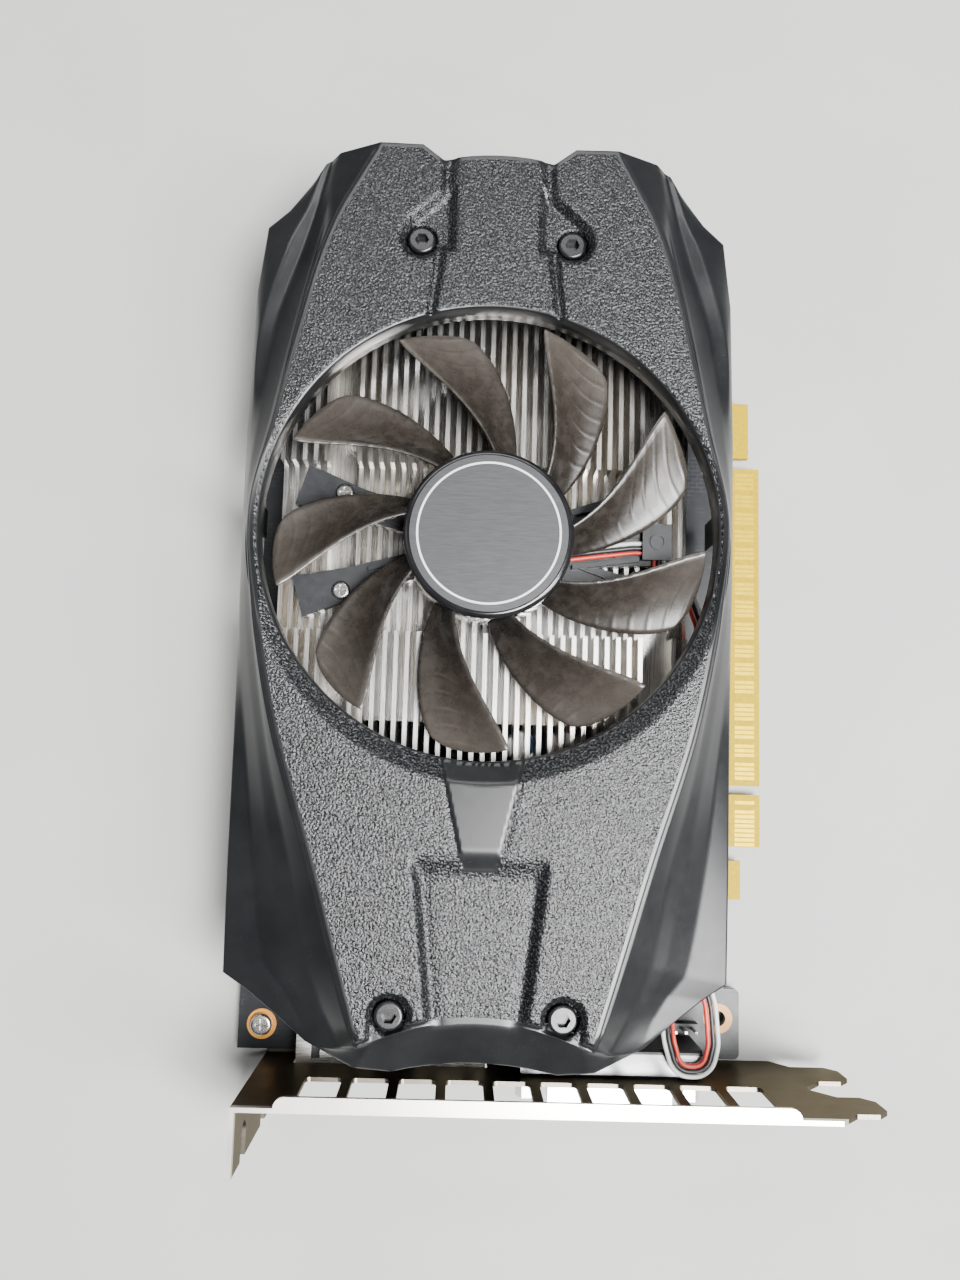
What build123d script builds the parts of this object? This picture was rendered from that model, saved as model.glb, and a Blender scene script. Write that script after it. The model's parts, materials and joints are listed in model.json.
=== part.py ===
from build123d import *
import math
import os

# A dual-slot graphics card with one fan. All sizes are in millimetres.
# While it is modelled, X = 0 lies at the tips of the edge contacts and X falls across the board,
# Y = 0 lies at the key notch of the edge connector and rises away from the bracket,
# and Z = 0 is the component side of the board, with the fan above it.
# Every part is shifted to the middle of the card's footprint when it is written.

# ---------------------------------------------------------------- circuit board
BOARD_T = 1.57
BOARD_HEIGHT = 110.8
BOARD_BOTTOM_Y = -56.6
BOARD_TOP_Y = 115.5
MAIN_EDGE_X = -8.0
SHOULDER_X = -4.7
SHOULDER_TOP_Y = -42.1
KEY_HALF = 0.95
LONG_END_Y = 72.15
SHORT_END_Y = -12.15
LATCH_TAB_Y = (74.6, 87.4)
LATCH_TAB_X = -2.5
SMALL_TAB_Y = (-23.4, -15.2)
CONTACT_PITCH = 1.0
CONTACT_W = 0.7
CONTACT_X = (-5.6, -1.3)
CONTACT_T = 0.05
BRACKET_HOLE_R = 1.6
BRACKET_HOLES = ((-105.9, -51.6), (-9.2, -48.3))

# ---------------------------------------------------------------- bracket
SHEET_T = 0.86
BRACKET_TOP_X = -104.8
BRACKET_LENGTH = 120.02
BRACKET_WIDTH = 38.74
BRACKET_LOW_Z = -3.2
BRACKET_OUTER_Y = -58.46
TAB_DEPTH = 11.43
SLOT_PITCH = 20.32
TAIL_W = 10.19
VENT_COUNT = 10
VENT_PITCH = 9.12
VENT_W = 7.2

# ---------------------------------------------------------------- shroud, measured from the fan axis
AXIS_X = -61.5
AXIS_Y = 49.0
SHROUD_TOP_Z = 33.0
SHROUD_FOOT_Z = 8.0
WALL = 2.0
OPENING_R = 44.5
COLLAR_Z = 27.0
SHROUD_SCREWS = ((15.1, 58.8), (-15.1, 58.8), (16.0, -91.3), (-16.0, -91.3))

# ---------------------------------------------------------------- fan
BLADES = 9
BLADE_R = 42.9
BLADE_ROOT_R = 15.0
HUB_R = 16.9
HUB_TOP_Z = 29.3
HUB_LOW_Z = 19.9
SHAFT_R = 1.5
BEARING_CLEARANCE = 0.04
FRAME_Z = (14.5, 16.9)
ARM_ANGLE = 17.0
ARM_SCREW_R = 31.6

# ---------------------------------------------------------------- heat sink
SINK_X = (-104.6, -18.4)
FIN_Y = (-6.0, 102.0)
BASE_Y = (12.6, 102.0)
BASE_Z = (5.0, 8.6)
FIN_T = 0.9
FIN_PITCH = 2.25
FIN_TOP_Z = 19.5
BAND_Y = (30.4, 65.3)
BAND_Z = FRAME_Z[0]
DIE_TOP_Z = 2.2
SINK_SCREW_HALF = 27.0

LOW_Z = BRACKET_LOW_Z
FOOTPRINT_X = (-BOARD_HEIGHT, BRACKET_TOP_X + BRACKET_LENGTH)
FOOTPRINT_Y = (BRACKET_OUTER_Y - TAB_DEPTH, AXIS_Y + 79.2)
SHIFT = Location((-sum(FOOTPRINT_X) / 2, -sum(FOOTPRINT_Y) / 2, -LOW_Z))


# ---------------------------------------------------------------- helpers
def block(xs, ys, zs):
    """A box between two corners, given as (low, high) pairs."""
    size = [pair[1] - pair[0] for pair in (xs, ys, zs)]
    return Pos(xs[0], ys[0], zs[0]) * Box(*size, align=(Align.MIN, Align.MIN, Align.MIN))


def rod(x, y, z0, z1, r):
    return Pos(x, y, z0) * Cylinder(r, z1 - z0, align=(Align.CENTER, Align.CENTER, Align.MIN))


def ring(x, y, z0, z1, r_out, r_in):
    return rod(x, y, z0, z1, r_out) - rod(x, y, z0 - 1, z1 + 1, r_in)


def prism(points, z0, z1):
    """A flat outline in X and Y carried from z0 up to z1."""
    outline = Polyline(*[(x, y) for x, y in points], close=True)
    return Pos(0, 0, z0) * extrude(make_face(outline), amount=z1 - z0)


def wall_prism(points, y0, y1):
    """A flat outline in X and Z carried from y0 to y1."""
    outline = Polyline(*[(x, -z) for x, z in points], close=True)
    plane = Plane(origin=(0, y0, 0), x_dir=(1, 0, 0), z_dir=(0, 1, 0))
    return plane * extrude(make_face(outline), amount=y1 - y0)


def from_axis(points):
    """Points measured from the fan axis, in card coordinates."""
    return [(AXIS_X + u, AXIS_Y + v, *rest) for u, v, *rest in points]


def on_axis(z0, z1, r):
    return rod(AXIS_X, AXIS_Y, z0, z1, r)


def write(name, *shapes):
    """Write one named part, as a group of its separate solids."""
    solids = [solid for shape in shapes for solid in shape.solids()]
    export_step(Compound(solids).moved(SHIFT), f"parts/{name}.step")


# ---------------------------------------------------------------- circuit board
def make_board():
    outline = [
        (-BOARD_HEIGHT, BOARD_BOTTOM_Y), (SHOULDER_X, BOARD_BOTTOM_Y), (SHOULDER_X, SHOULDER_TOP_Y),
        (MAIN_EDGE_X, SHOULDER_TOP_Y), (MAIN_EDGE_X, BOARD_TOP_Y), (-BOARD_HEIGHT, BOARD_TOP_Y)]
    board = prism(outline, -BOARD_T, 0)
    board = fillet(board.edges().filter_by(Axis.Z).group_by(Axis.X)[-1], 1.2)
    for y0, y1, tip in (
            (KEY_HALF, LONG_END_Y, 0), (SHORT_END_Y, -KEY_HALF, 0),
            (*LATCH_TAB_Y, LATCH_TAB_X), (*SMALL_TAB_Y, SHOULDER_X + 0.3)):
        tongue = block((MAIN_EDGE_X - 1, tip), (y0, y1), (-BOARD_T, 0))
        if tip == 0:
            tongue = chamfer(tongue.edges().filter_by(Axis.Y).group_by(Axis.X)[-1], 0.45)
        board += tongue
    for x, y in BRACKET_HOLES:
        board -= rod(x, y, -BOARD_T - 1, 1, BRACKET_HOLE_R)
    for x, y in sink_screw_places():
        board -= rod(x, y, -BOARD_T - 1, 1, 1.5)
    for u, v in SHROUD_SCREWS:
        board -= rod(AXIS_X + u, AXIS_Y + v, -BOARD_T - 1, 1, 1.3)
    for x in range(-100, 0, 15):
        board -= rod(x, 112.5, -BOARD_T - 1, 1, 0.4)
    return board


def make_contacts(z0, z1, missing):
    """Flat contacts beside the key notch, on one face of the board."""
    pads = []
    for pin in range(1, 83):
        if pin in missing:
            continue
        from_key = KEY_HALF + 0.7 + CONTACT_PITCH * (11 - pin if pin <= 11 else pin - 12)
        centre = -from_key if pin <= 11 else from_key
        pads.append(block(CONTACT_X, (centre - CONTACT_W / 2, centre + CONTACT_W / 2), (z0, z1)))
    return pads


def hole_pad(x, y):
    """The plated ring round a screw hole."""
    return ring(x, y, 0, CONTACT_T, 3.1, BRACKET_HOLE_R)


def sink_screw_places():
    half = SINK_SCREW_HALF
    return [(AXIS_X + sx * half, AXIS_Y + sy * half) for sx in (-1, 1) for sy in (-1, 1)]


# ---------------------------------------------------------------- processor, memory and power parts
MEMORY_PLACES = [(-24.5, 8), (-24.5, -9), (-8, 24.5), (9, 24.5)]


def make_substrate():
    return block((AXIS_X - 14.5, AXIS_X + 14.5), (AXIS_Y - 14.5, AXIS_Y + 14.5), (0, 1.4))


def make_die():
    return block((AXIS_X - 7.3, AXIS_X + 7.3), (AXIS_Y - 4.5, AXIS_Y + 4.5), (1.4, DIE_TOP_Z))


def make_paste():
    return block((AXIS_X - 7.3, AXIS_X + 7.3), (AXIS_Y - 4.5, AXIS_Y + 4.5), (DIE_TOP_Z, DIE_TOP_Z + 0.1))


def make_memory():
    return [block((AXIS_X + u - 6, AXIS_X + u + 6), (AXIS_Y + v - 7, AXIS_Y + v + 7), (0, 1.2))
            for u, v in MEMORY_PLACES]


def make_inductor(x, y):
    """A moulded power inductor with a chamfered top."""
    body = block((x - 4.5, x + 4.5), (y - 4.5, y + 4.5), (0, 4.4))
    return chamfer(body.faces().sort_by(Axis.Z)[-1].edges(), 0.6)


def make_can(x, y, r, height):
    """A round capacitor can with a crimped foot and a square plastic base."""
    can = rod(x, y, 0.9, height, r)
    can = chamfer(can.faces().sort_by(Axis.Z)[-1].edges(), 0.4)
    can -= ring(x, y, 1.8, 2.3, r + 1, r - 0.25)
    return can


def make_can_base(x, y, r):
    side = r + 0.15
    base = block((x - side, x + side), (y - side, y + side), (0, 0.9))
    return chamfer(base.edges().filter_by(Axis.Z).group_by(Axis.Y)[-1], 0.9)


CAN_R = 3.15
CAN_TOP = 8.2
CAN_PLACES = [(-53.0, 8.2), (-44.8, 8.2), (-36.6, 8.2), (-90.0, -14.0), (-82.0, -14.0)]
INDUCTOR_PLACES = [(-76.6, 7.4), (-62.0, -12.5), (-50.5, -12.5), (-39.0, -12.5)]
SWITCH_PLACES = [(x, -24.0) for x in (-64, -58, -52.5, -46.5, -41, -35)]


def make_switches():
    """Power transistors in flat packages, in a row below their inductors."""
    return [block((x - 2.4, x + 2.4), (y - 2.9, y + 2.9), (0, 1.1)) for x, y in SWITCH_PLACES]


def make_small_parts():
    """Ceramic capacitors and resistors, in rows round the processor and the power parts."""
    parts = []
    for i in range(12):
        x = AXIS_X - 13.2 + i * 2.4
        parts.append(block((x, x + 1.6), (AXIS_Y - 18.2, AXIS_Y - 17.4), (0, 0.7)))
        parts.append(block((AXIS_X + 17.2, AXIS_X + 18.0), (AXIS_Y + x - AXIS_X, AXIS_Y + x - AXIS_X + 1.6),
                           (0, 0.7)))
    for i in range(9):
        x = -67 + i * 4.2
        parts.append(block((x, x + 1.6), (-31.6, -30.8), (0, 0.8)))
    for i in range(6):
        y = -47.5 + i * 1.7
        parts.append(block((-100.6, -99.0), (y, y + 0.8), (0, 0.7)))
    return parts


# ---------------------------------------------------------------- sockets on the bracket
DVI_X = (-51.8, -15.2)
DVI_BACK_Y = -52.0
HDMI_X = -65.9
DP_X = -89.6
INNER_Y = BRACKET_OUTER_Y + SHEET_T


def d_outline(cx, half_low, half_top, z0, z1):
    return [(cx - half_low, z0), (cx + half_low, z0), (cx + half_top, z1), (cx - half_top, z1)]


def socket_cutouts():
    """The holes that the sockets stand in, through the bracket."""
    dvi_mid = sum(DVI_X) / 2
    y0, y1 = BRACKET_OUTER_Y - 1, INNER_Y + 1
    holes = wall_prism(d_outline(dvi_mid, 12.6, 12.9, 1.7, 10.1), y0, y1)
    holes += wall_prism(d_outline(HDMI_X, 7.6, 7.6, 0.4, 6.7), y0, y1)
    holes += wall_prism(d_outline(DP_X, 8.4, 8.4, 0.4, 6.5), y0, y1)
    for sx in (-1, 1):
        holes += Pos(dvi_mid + sx * 16.5, y1, 5.9) * Rot(90, 0, 0) * Cylinder(
            1.7, 6, align=(Align.CENTER, Align.CENTER, Align.CENTER))
    return holes


def make_dvi():
    """The metal shell, its plastic insert and body, and the two jack screws."""
    mid = sum(DVI_X) / 2
    shell = wall_prism(d_outline(mid, 12.3, 12.6, 2.0, 9.8), BRACKET_OUTER_Y - 5.2, INNER_Y)
    shell -= wall_prism(d_outline(mid, 11.9, 12.2, 2.4, 9.4), BRACKET_OUTER_Y - 6, INNER_Y + 1)
    insert = wall_prism(d_outline(mid, 11.2, 11.5, 2.9, 8.9), BRACKET_OUTER_Y - 4.4, INNER_Y)
    for row in range(3):
        for col in range(8):
            x, z = mid - 9.2 + col * 1.91, 4.0 + row * 1.91
            insert -= block((x - 0.35, x + 0.35), (BRACKET_OUTER_Y - 5, BRACKET_OUTER_Y + 0.2),
                            (z - 0.35, z + 0.35))
    insert -= block((mid + 6.6, mid + 10.2), (BRACKET_OUTER_Y - 5, BRACKET_OUTER_Y + 0.2), (5.7, 6.1))
    body = block(DVI_X, (INNER_Y, DVI_BACK_Y), (0, 12))
    body = chamfer(body.edges().filter_by(Axis.X).group_by(Axis.Z)[-1], 0.5)
    jacks = []
    for sx in (-1, 1):
        x = mid + sx * 16.5
        nut = extrude(RegularPolygon(2.4, 6), amount=4.6) - Cylinder(1.4, 20)
        jacks.append(Pos(x, BRACKET_OUTER_Y, 5.9) * Rot(90, 0, 0) * nut)
    return shell, insert, body, jacks


def make_flat_socket(cx, half, top):
    """A pressed metal shell open at the front, with its plastic tongue in it."""
    front, back = BRACKET_OUTER_Y - 0.5, INNER_Y + 10.8
    outer = block((cx - half, cx + half), (front, back), (0.6, top))
    outer = chamfer(outer.edges().filter_by(Axis.Y).group_by(Axis.Z)[0], 1.4)
    inner = block((cx - half + 0.4, cx + half - 0.4), (front - 1, back - 2.4), (1.0, top - 0.4))
    inner = chamfer(inner.edges().filter_by(Axis.Y).group_by(Axis.Z)[0], 1.2)
    for sx in (-1, 1):
        outer -= block((cx + sx * half * 0.5 - 0.9, cx + sx * half * 0.5 + 0.9), (front + 2.2, front + 6.5),
                       (top - 1, top + 1))
    tongue = block((cx - half + 2.2, cx + half - 2.2), (front + 1.2, back - 2.4), (2.9, 4.2))
    legs = [block((cx + sx * (half - 0.3) - 0.25, cx + sx * (half - 0.3) + 0.25), (y, y + 1.1), (-2.2, 2.1))
            for sx in (-1, 1) for y in (INNER_Y + 2, INNER_Y + 7.5)]
    return outer - inner, tongue, legs


def socket_legs_cut(board):
    """The slots in the board for the legs of the two flat sockets."""
    for cx, half in ((HDMI_X, 7.2), (DP_X, 8.0)):
        for sx in (-1, 1):
            x = cx + sx * (half - 0.3)
            for y in (INNER_Y + 2, INNER_Y + 7.5):
                board -= block((x - 0.35, x + 0.35), (y - 0.1, y + 1.2), (-BOARD_T - 1, 1))
    return board


# ---------------------------------------------------------------- bracket
def make_bracket():
    x0 = BRACKET_TOP_X
    x1 = x0 + BRACKET_LENGTH
    z0 = BRACKET_LOW_Z
    z1 = z0 + BRACKET_WIDTH
    tail_z = [z0 + 4.1, z0 + 4.1 + SLOT_PITCH]
    shoulder_x = x1 - 8.2
    outline = [(x0, z0), (shoulder_x - 4.5, z0), (shoulder_x - 1.2, tail_z[0]),
               (x1 - 2.2, tail_z[0]), (x1, tail_z[0] + 2.4), (x1, tail_z[0] + TAIL_W - 2.4),
               (x1 - 2.2, tail_z[0] + TAIL_W), (x1 - 6.6, tail_z[0] + TAIL_W), (x1 - 10.6, tail_z[0] + TAIL_W + 4.4),
               (x1 - 10.6, tail_z[1] - 4.4), (x1 - 6.6, tail_z[1]), (x1 - 2.2, tail_z[1]), (x1, tail_z[1] + 2.4),
               (x1, tail_z[1] + TAIL_W - 2.4), (x1 - 2.2, tail_z[1] + TAIL_W), (x1 - 6.4, tail_z[1] + TAIL_W),
               (shoulder_x - 2.2, z1), (x0, z1)]
    plate = wall_prism(outline, BRACKET_OUTER_Y, INNER_Y)
    vent_x = x0 + 10.8
    for i in range(VENT_COUNT):
        left = vent_x + i * VENT_PITCH
        vent = block((left, left + VENT_W), (BRACKET_OUTER_Y - 1, INNER_Y + 1), (16.2, 30.2))
        plate -= fillet(vent.edges().filter_by(Axis.Y), 0.9)
    plate -= socket_cutouts()
    lip = block((x0 + 7.6, -2.6), (BRACKET_OUTER_Y, BRACKET_OUTER_Y + 2.8), (z1 - SHEET_T, z1))
    lip = fillet(lip.edges().filter_by(Axis.Z).group_by(Axis.Y)[-1], 2.0)
    tab = block((x0, x0 + SHEET_T), (BRACKET_OUTER_Y - TAB_DEPTH, INNER_Y), (z0, z1))
    for z in (z0 + 8.0, z0 + 8.0 + SLOT_PITCH):
        end_y = BRACKET_OUTER_Y - TAB_DEPTH + 4.6
        slot = block((x0 - 1, x0 + 2), (end_y - 9, end_y), (z - 2.2, z + 2.2))
        slot += Pos(x0, end_y, z) * Rot(0, 90, 0) * Cylinder(2.2, 6)
        tab -= slot
    foot_z = (-BOARD_T - SHEET_T, -BOARD_T)
    foot = prism([(x0 + 0.3, BRACKET_OUTER_Y), (x0 + 6.8, BRACKET_OUTER_Y), (x0 + 6.8, -47.6), (-109.6, -47.6),
                  (-109.6, -56.0), (x0 + 0.3, -56.0)], *foot_z)
    foot -= rod(*BRACKET_HOLES[0], foot_z[0] - 1, foot_z[1] + 1, 1.25)
    return plate + lip + tab + foot


def make_bracket_screw():
    x, y = BRACKET_HOLES[0]
    head = rod(x, y, CONTACT_T, 1.5, 2.3)
    head = fillet(head.faces().sort_by(Axis.Z)[-1].edges(), 0.7)
    return head + rod(x, y, -3.0, 0.2, 1.2) - cross_recess(x, y, 1.6, 2.4)


def cross_recess(x, y, top, span):
    """The cross of a Phillips screw."""
    bars = block((x - span / 2, x + span / 2), (y - 0.25, y + 0.25), (top - 1.0, top + 1))
    return bars + block((x - 0.25, x + 0.25), (y - span / 2, y + span / 2), (top - 1.0, top + 1))


# ---------------------------------------------------------------- heat sink
def fin_places():
    """The low edge in X of every fin; two wide channels are left for the frame's screws."""
    count = int((SINK_X[1] - SINK_X[0] - FIN_T) / FIN_PITCH) + 1
    places = [SINK_X[0] + i * FIN_PITCH for i in range(count)]
    channels = ((-94.4, -89.3), (-27.7, -23.2))
    return [x for x in places if not any(low < x + FIN_T / 2 < high for low, high in channels)]


def make_heat_sink():
    sink = block(SINK_X, BASE_Y, BASE_Z)
    pedestal_top = BASE_Z[0] + 0.5
    sink += block((AXIS_X - 12, AXIS_X + 12), (AXIS_Y - 12, AXIS_Y + 12), (DIE_TOP_Z + 0.1, pedestal_top))
    fins = []
    for x in fin_places():
        side = [(FIN_Y[0], BASE_Z[1]), (BASE_Y[0], BASE_Z[1]), (BASE_Y[0], BASE_Z[0] + 1.0),
                (FIN_Y[1], BASE_Z[0] + 1.0), (FIN_Y[1], FIN_TOP_Z), (BAND_Y[1], FIN_TOP_Z),
                (BAND_Y[1], BAND_Z), (BAND_Y[0], BAND_Z), (BAND_Y[0], FIN_TOP_Z), (FIN_Y[0], FIN_TOP_Z)]
        plane = Plane(origin=(x, 0, 0), x_dir=(0, 1, 0), z_dir=(1, 0, 0))
        fins.append(plane * extrude(make_face(Polyline(*side, close=True)), amount=FIN_T))
    sink = sink.fuse(*fins)
    for x, y in sink_screw_places():
        sink -= rod(x, y, BASE_Z[0] - 1, BASE_Z[0] + 3.2, 1.2)
    for x, y in frame_screw_places():
        sink += rod(x, y, BASE_Z[1] - 0.5, BAND_Z, 2.4)
        sink -= rod(x, y, BAND_Z - 5.0, BAND_Z + 1, 0.95)
    return sink


def make_sink_screw(x, y):
    """A sprung screw: its head is under the board and its thread is in the base of the heat sink."""
    head = rod(x, y, LOW_Z, LOW_Z + 1.0, 2.6)
    return head + rod(x, y, LOW_Z + 1.0, BASE_Z[0] + 3.0, 1.2) - block(
        (x - 1.8, x + 1.8), (y - 0.3, y + 0.3), (LOW_Z - 1, LOW_Z + 0.5))


def make_sink_washer(x, y):
    return ring(x, y, LOW_Z + 1.0, -BOARD_T, 2.2, 1.3)


def make_pads():
    """Soft pads between the memory chips and the base of the heat sink."""
    return [block((AXIS_X + u - 5.5, AXIS_X + u + 5.5), (AXIS_Y + v - 6.5, AXIS_Y + v + 6.5), (1.2, BASE_Z[0]))
            for u, v in MEMORY_PLACES]


# ---------------------------------------------------------------- fan
def frame_screw_places():
    out = []
    for side in (0, 180):
        for turn in (-ARM_ANGLE - 2, ARM_ANGLE + 2):
            a = math.radians(side + turn)
            out.append((AXIS_X + ARM_SCREW_R * math.cos(a), AXIS_Y + ARM_SCREW_R * math.sin(a)))
    return out


def make_fan_frame():
    """A round motor seat with four flat arms, and a channel that carries the lead."""
    low, high = FRAME_Z
    frame = on_axis(low, high, 16.2)
    for side in (0, 180):
        for turn in (-ARM_ANGLE, ARM_ANGLE):
            length = 40.5 if side == 180 else 34.0
            arm = [(10, -2.6), (29, -3.2), (length, -4.4), (length, 4.4), (29, 3.2), (10, 2.6)]
            solid = prism(arm, low, high)
            rib = prism([(14.4, -2.4), (25, -2.0), (25, -1.2), (14.4, -1.6)], high, high + 0.8)
            rib += prism([(14.4, 1.6), (25, 1.2), (25, 2.0), (14.4, 2.4)], high, high + 0.8)
            frame += Pos(AXIS_X, AXIS_Y, 0) * Rot(0, 0, side + turn) * (solid + rib)
    channel = [(14, -4.6), (31.8, -3.2), (31.8, 3.6), (14, 2.0)]
    frame += prism(from_axis(channel), low, high)
    for v in (-4.5, 0.6):
        rail = [(17.6, v), (31.4, v + 1.9), (31.4, v + 2.9), (17.6, v + 1.0)]
        frame += prism(from_axis(rail), high, high + 1.2)
    frame += block((AXIS_X + 31.4, AXIS_X + 38.0), (AXIS_Y - 3.2, AXIS_Y + 5.4), (low, high))
    frame += lead_cap(high)
    frame -= block((AXIS_X + 24.6, AXIS_X + 26.6), (AXIS_Y - 1.7, AXIS_Y + 2.0), (low - 1, high + 0.1))
    for x, y in frame_screw_places():
        frame -= rod(x, y, low - 1, high + 1, 1.05)
        frame -= rod(x, y, high - 0.9, high + 2, 1.95)
    frame -= on_axis(low - 1, high + 1, 3.0)
    return frame


def lead_cap(z):
    """A cap over the end of the channel, open where the lead comes in and where it goes out."""
    xs = (AXIS_X + 32.0, AXIS_X + 38.0)
    cap = block(xs, (AXIS_Y - 2.2, AXIS_Y + 5.4), (z, z + 1.8))
    cap -= block((xs[0] - 1, xs[1] - 0.7), (AXIS_Y - 3.0, AXIS_Y + 2.8), (z - 1, z + 1.15))
    return cap + ring(AXIS_X + 35.2, AXIS_Y + 1.6, z + 1.7, z + 2.1, 1.7, 1.2)


def make_frame_screw(x, y):
    head = rod(x, y, FRAME_Z[1] - 0.9, FRAME_Z[1] + 0.5, 1.8)
    head = fillet(head.faces().sort_by(Axis.Z)[-1].edges(), 0.5)
    shank = rod(x, y, BAND_Z - 4.5, FRAME_Z[1] - 0.5, 0.9)
    return head + shank - cross_recess(x, y, FRAME_Z[1] + 0.8, 2.2)


def make_bearing():
    """The brass sleeve that the shaft turns in, seated in the frame."""
    low = FRAME_Z[0]
    return ring(AXIS_X, AXIS_Y, low, 26.0, 3.0, SHAFT_R + BEARING_CLEARANCE)


def make_stator():
    """Four pole shoes on a laminated core that is pressed round the bearing."""
    core = on_axis(20.2, 23.6, 6.0)
    for i in range(4):
        pole = block((0, 10.2), (-1.6, 1.6), (20.2, 23.6))
        shoe = ring(0, 0, 20.2, 23.6, 11.4, 9.9) & prism([(0, 0), (14, -9.5), (14, 9.5)], 20, 24)
        core += Pos(AXIS_X, AXIS_Y, 0) * Rot(0, 0, 45 + 90 * i) * (pole + shoe)
    return core - on_axis(19, 25, 3.0)


def make_coils():
    coils = []
    for i in range(4):
        coil = block((6.4, 9.2), (-3.2, 3.2), (18.7, 25.0)) - block((6, 10), (-1.65, 1.65), (20.15, 23.65))
        coils.append(Pos(AXIS_X, AXIS_Y, 0) * Rot(0, 0, 45 + 90 * i) * coil)
    return coils


def make_motor_board():
    board = ring(AXIS_X, AXIS_Y, FRAME_Z[1] + 0.2, FRAME_Z[1] + 1.0, 13.6, 3.0)
    chip = block((AXIS_X - 2, AXIS_X + 2), (AXIS_Y - 11.5, AXIS_Y - 8.6), (FRAME_Z[1] + 1.0, FRAME_Z[1] + 1.6))
    return board + chip


def blade_point(r, s):
    """A point of the blade: s runs from 0 at the high, leading edge to 1 at the low, trailing edge."""
    out = min((r - BLADE_ROOT_R) / (BLADE_R - BLADE_ROOT_R), 1.0)
    lead = -35.0 + 31.5 * (1 - (1 - out) ** 1.5)
    trail = -50.0 + 25.5 * out
    angle = math.radians(lead + (trail - lead) * s)
    high = 28.0 + 2.8 * out
    low = 21.2 + 2.3 * out
    z = high + (low - high) * (s + 0.16 * math.sin(math.pi * s))
    r -= out ** 8 * (0.5 * (1 - s) ** 6 + 1.8 * s ** 5)
    return AXIS_X + r * math.cos(angle), AXIS_Y + r * math.sin(angle), z


def make_blade():
    """A curved sheet through the blade's points, thickened to both sides."""
    radii = [BLADE_ROOT_R + (BLADE_R - BLADE_ROOT_R) * k / 8 for k in range(9)]
    grid = [[blade_point(r, k / 7) for k in range(8)] for r in radii]
    sheet = Face.make_surface_from_array_of_points(grid, tol=0.05)
    return Solid.thicken(sheet, 0.5).fuse(Solid.thicken(sheet, -0.5))


def make_rotor():
    """The hub and its nine blades are one moulding."""
    hub = on_axis(HUB_LOW_Z, HUB_TOP_Z, HUB_R)
    hub = chamfer(hub.faces().sort_by(Axis.Z)[-1].edges(), 0.9)
    blade = make_blade()
    turns = [Pos(AXIS_X, AXIS_Y, 0) * Rot(0, 0, 360 / BLADES * i) * Pos(-AXIS_X, -AXIS_Y, 0) for i in range(BLADES)]
    bore = on_axis(HUB_LOW_Z - 2, 27.9, 14.7)
    return hub.fuse(*[turn * blade for turn in turns]) - bore


def make_yoke():
    """The steel cup inside the hub, which holds the magnet and the shaft."""
    cup = on_axis(HUB_LOW_Z + 0.2, 27.9, 14.7) - on_axis(HUB_LOW_Z - 1, 27.1, 13.9)
    return cup - on_axis(26, 29, SHAFT_R)


# ---------------------------------------------------------------- shroud
# Lines that run down each side, for the right half: the crease of the top plate, two ridges with a
# groove between them, and the outer rim. Each station is a cut across them, from the horn at the top
# to the chin at the bottom.
SIDE_STATIONS = (
    ((23.9, 79.2), (32.6, 77.8, 29.8), (34.0, 76.8, 28.6), (35.2, 75.6, 29.0), (37.4, 72.2, 28.2)),
    ((30.7, 65.6), (33.8, 69.4, 30.5), (36.2, 67.9, 28.9), (38.2, 66.4, 29.3), (42.4, 66.0, 27.6)),
    ((34.7, 55.0), (35.4, 59.4, 30.6), (39.0, 58.2, 28.6), (42.2, 57.0, 29.2), (46.7, 62.6, 26.8)),
    ((38.2, 41.0), (38.8, 43.0, 31.2), (43.6, 42.0, 28.0), (47.2, 41.0, 27.4), (48.4, 49.4, 25.8)),
    ((42.6, 21.0), (43.2, 21.0, 31.0), (46.6, 21.0, 28.2), (48.0, 21.0, 26.6), (49.2, 21.0, 24.6)),
    ((46.2, 2.8), (46.8, 2.8, 31.4), (47.6, 2.8, 29.6), (48.4, 2.8, 27.2), (49.2, 2.8, 24.2)),
    ((44.3, -15.8), (45.2, -17.0, 31.0), (46.6, -18.4, 28.8), (48.3, -20.0, 25.8), (48.9, -20.0, 24.0)),
    ((39.8, -38.0), (41.2, -42.0, 30.0), (43.4, -42.0, 28.0), (46.2, -42.0, 24.8), (48.8, -43.0, 23.4)),
    ((32.2, -62.0), (35.6, -66.0, 29.4), (39.0, -66.0, 27.4), (43.5, -66.0, 24.4), (48.8, -66.0, 22.8)),
    ((27.4, -78.0), (32.6, -82.0, 28.6), (35.6, -82.6, 27.0), (40.2, -84.0, 24.2), (48.6, -86.0, 22.2)),
    ((25.6, -84.0), (30.4, -87.0, 28.4), (33.0, -87.6, 26.9), (36.6, -88.0, 24.6), (43.6, -89.0, 23.0)),
    ((23.9, -89.5), (28.6, -91.0, 28.4), (30.8, -91.6, 27.0), (33.9, -92.2, 25.2), (39.0, -92.2, 24.0)),
    ((22.6, -93.8), (26.6, -94.6, 28.6), (29.2, -95.2, 27.2), (32.2, -96.0, 25.8), (35.4, -94.8, 24.8)),
    ((21.7, -96.6), (25.2, -98.6, 29.0), (27.0, -99.0, 28.0), (28.6, -99.6, 27.0), (32.0, -97.4, 25.6)),
)
EDGE_DROP = 0.4
NOTCH_STEPS = 4
CHIN_STEPS = 7


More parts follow.
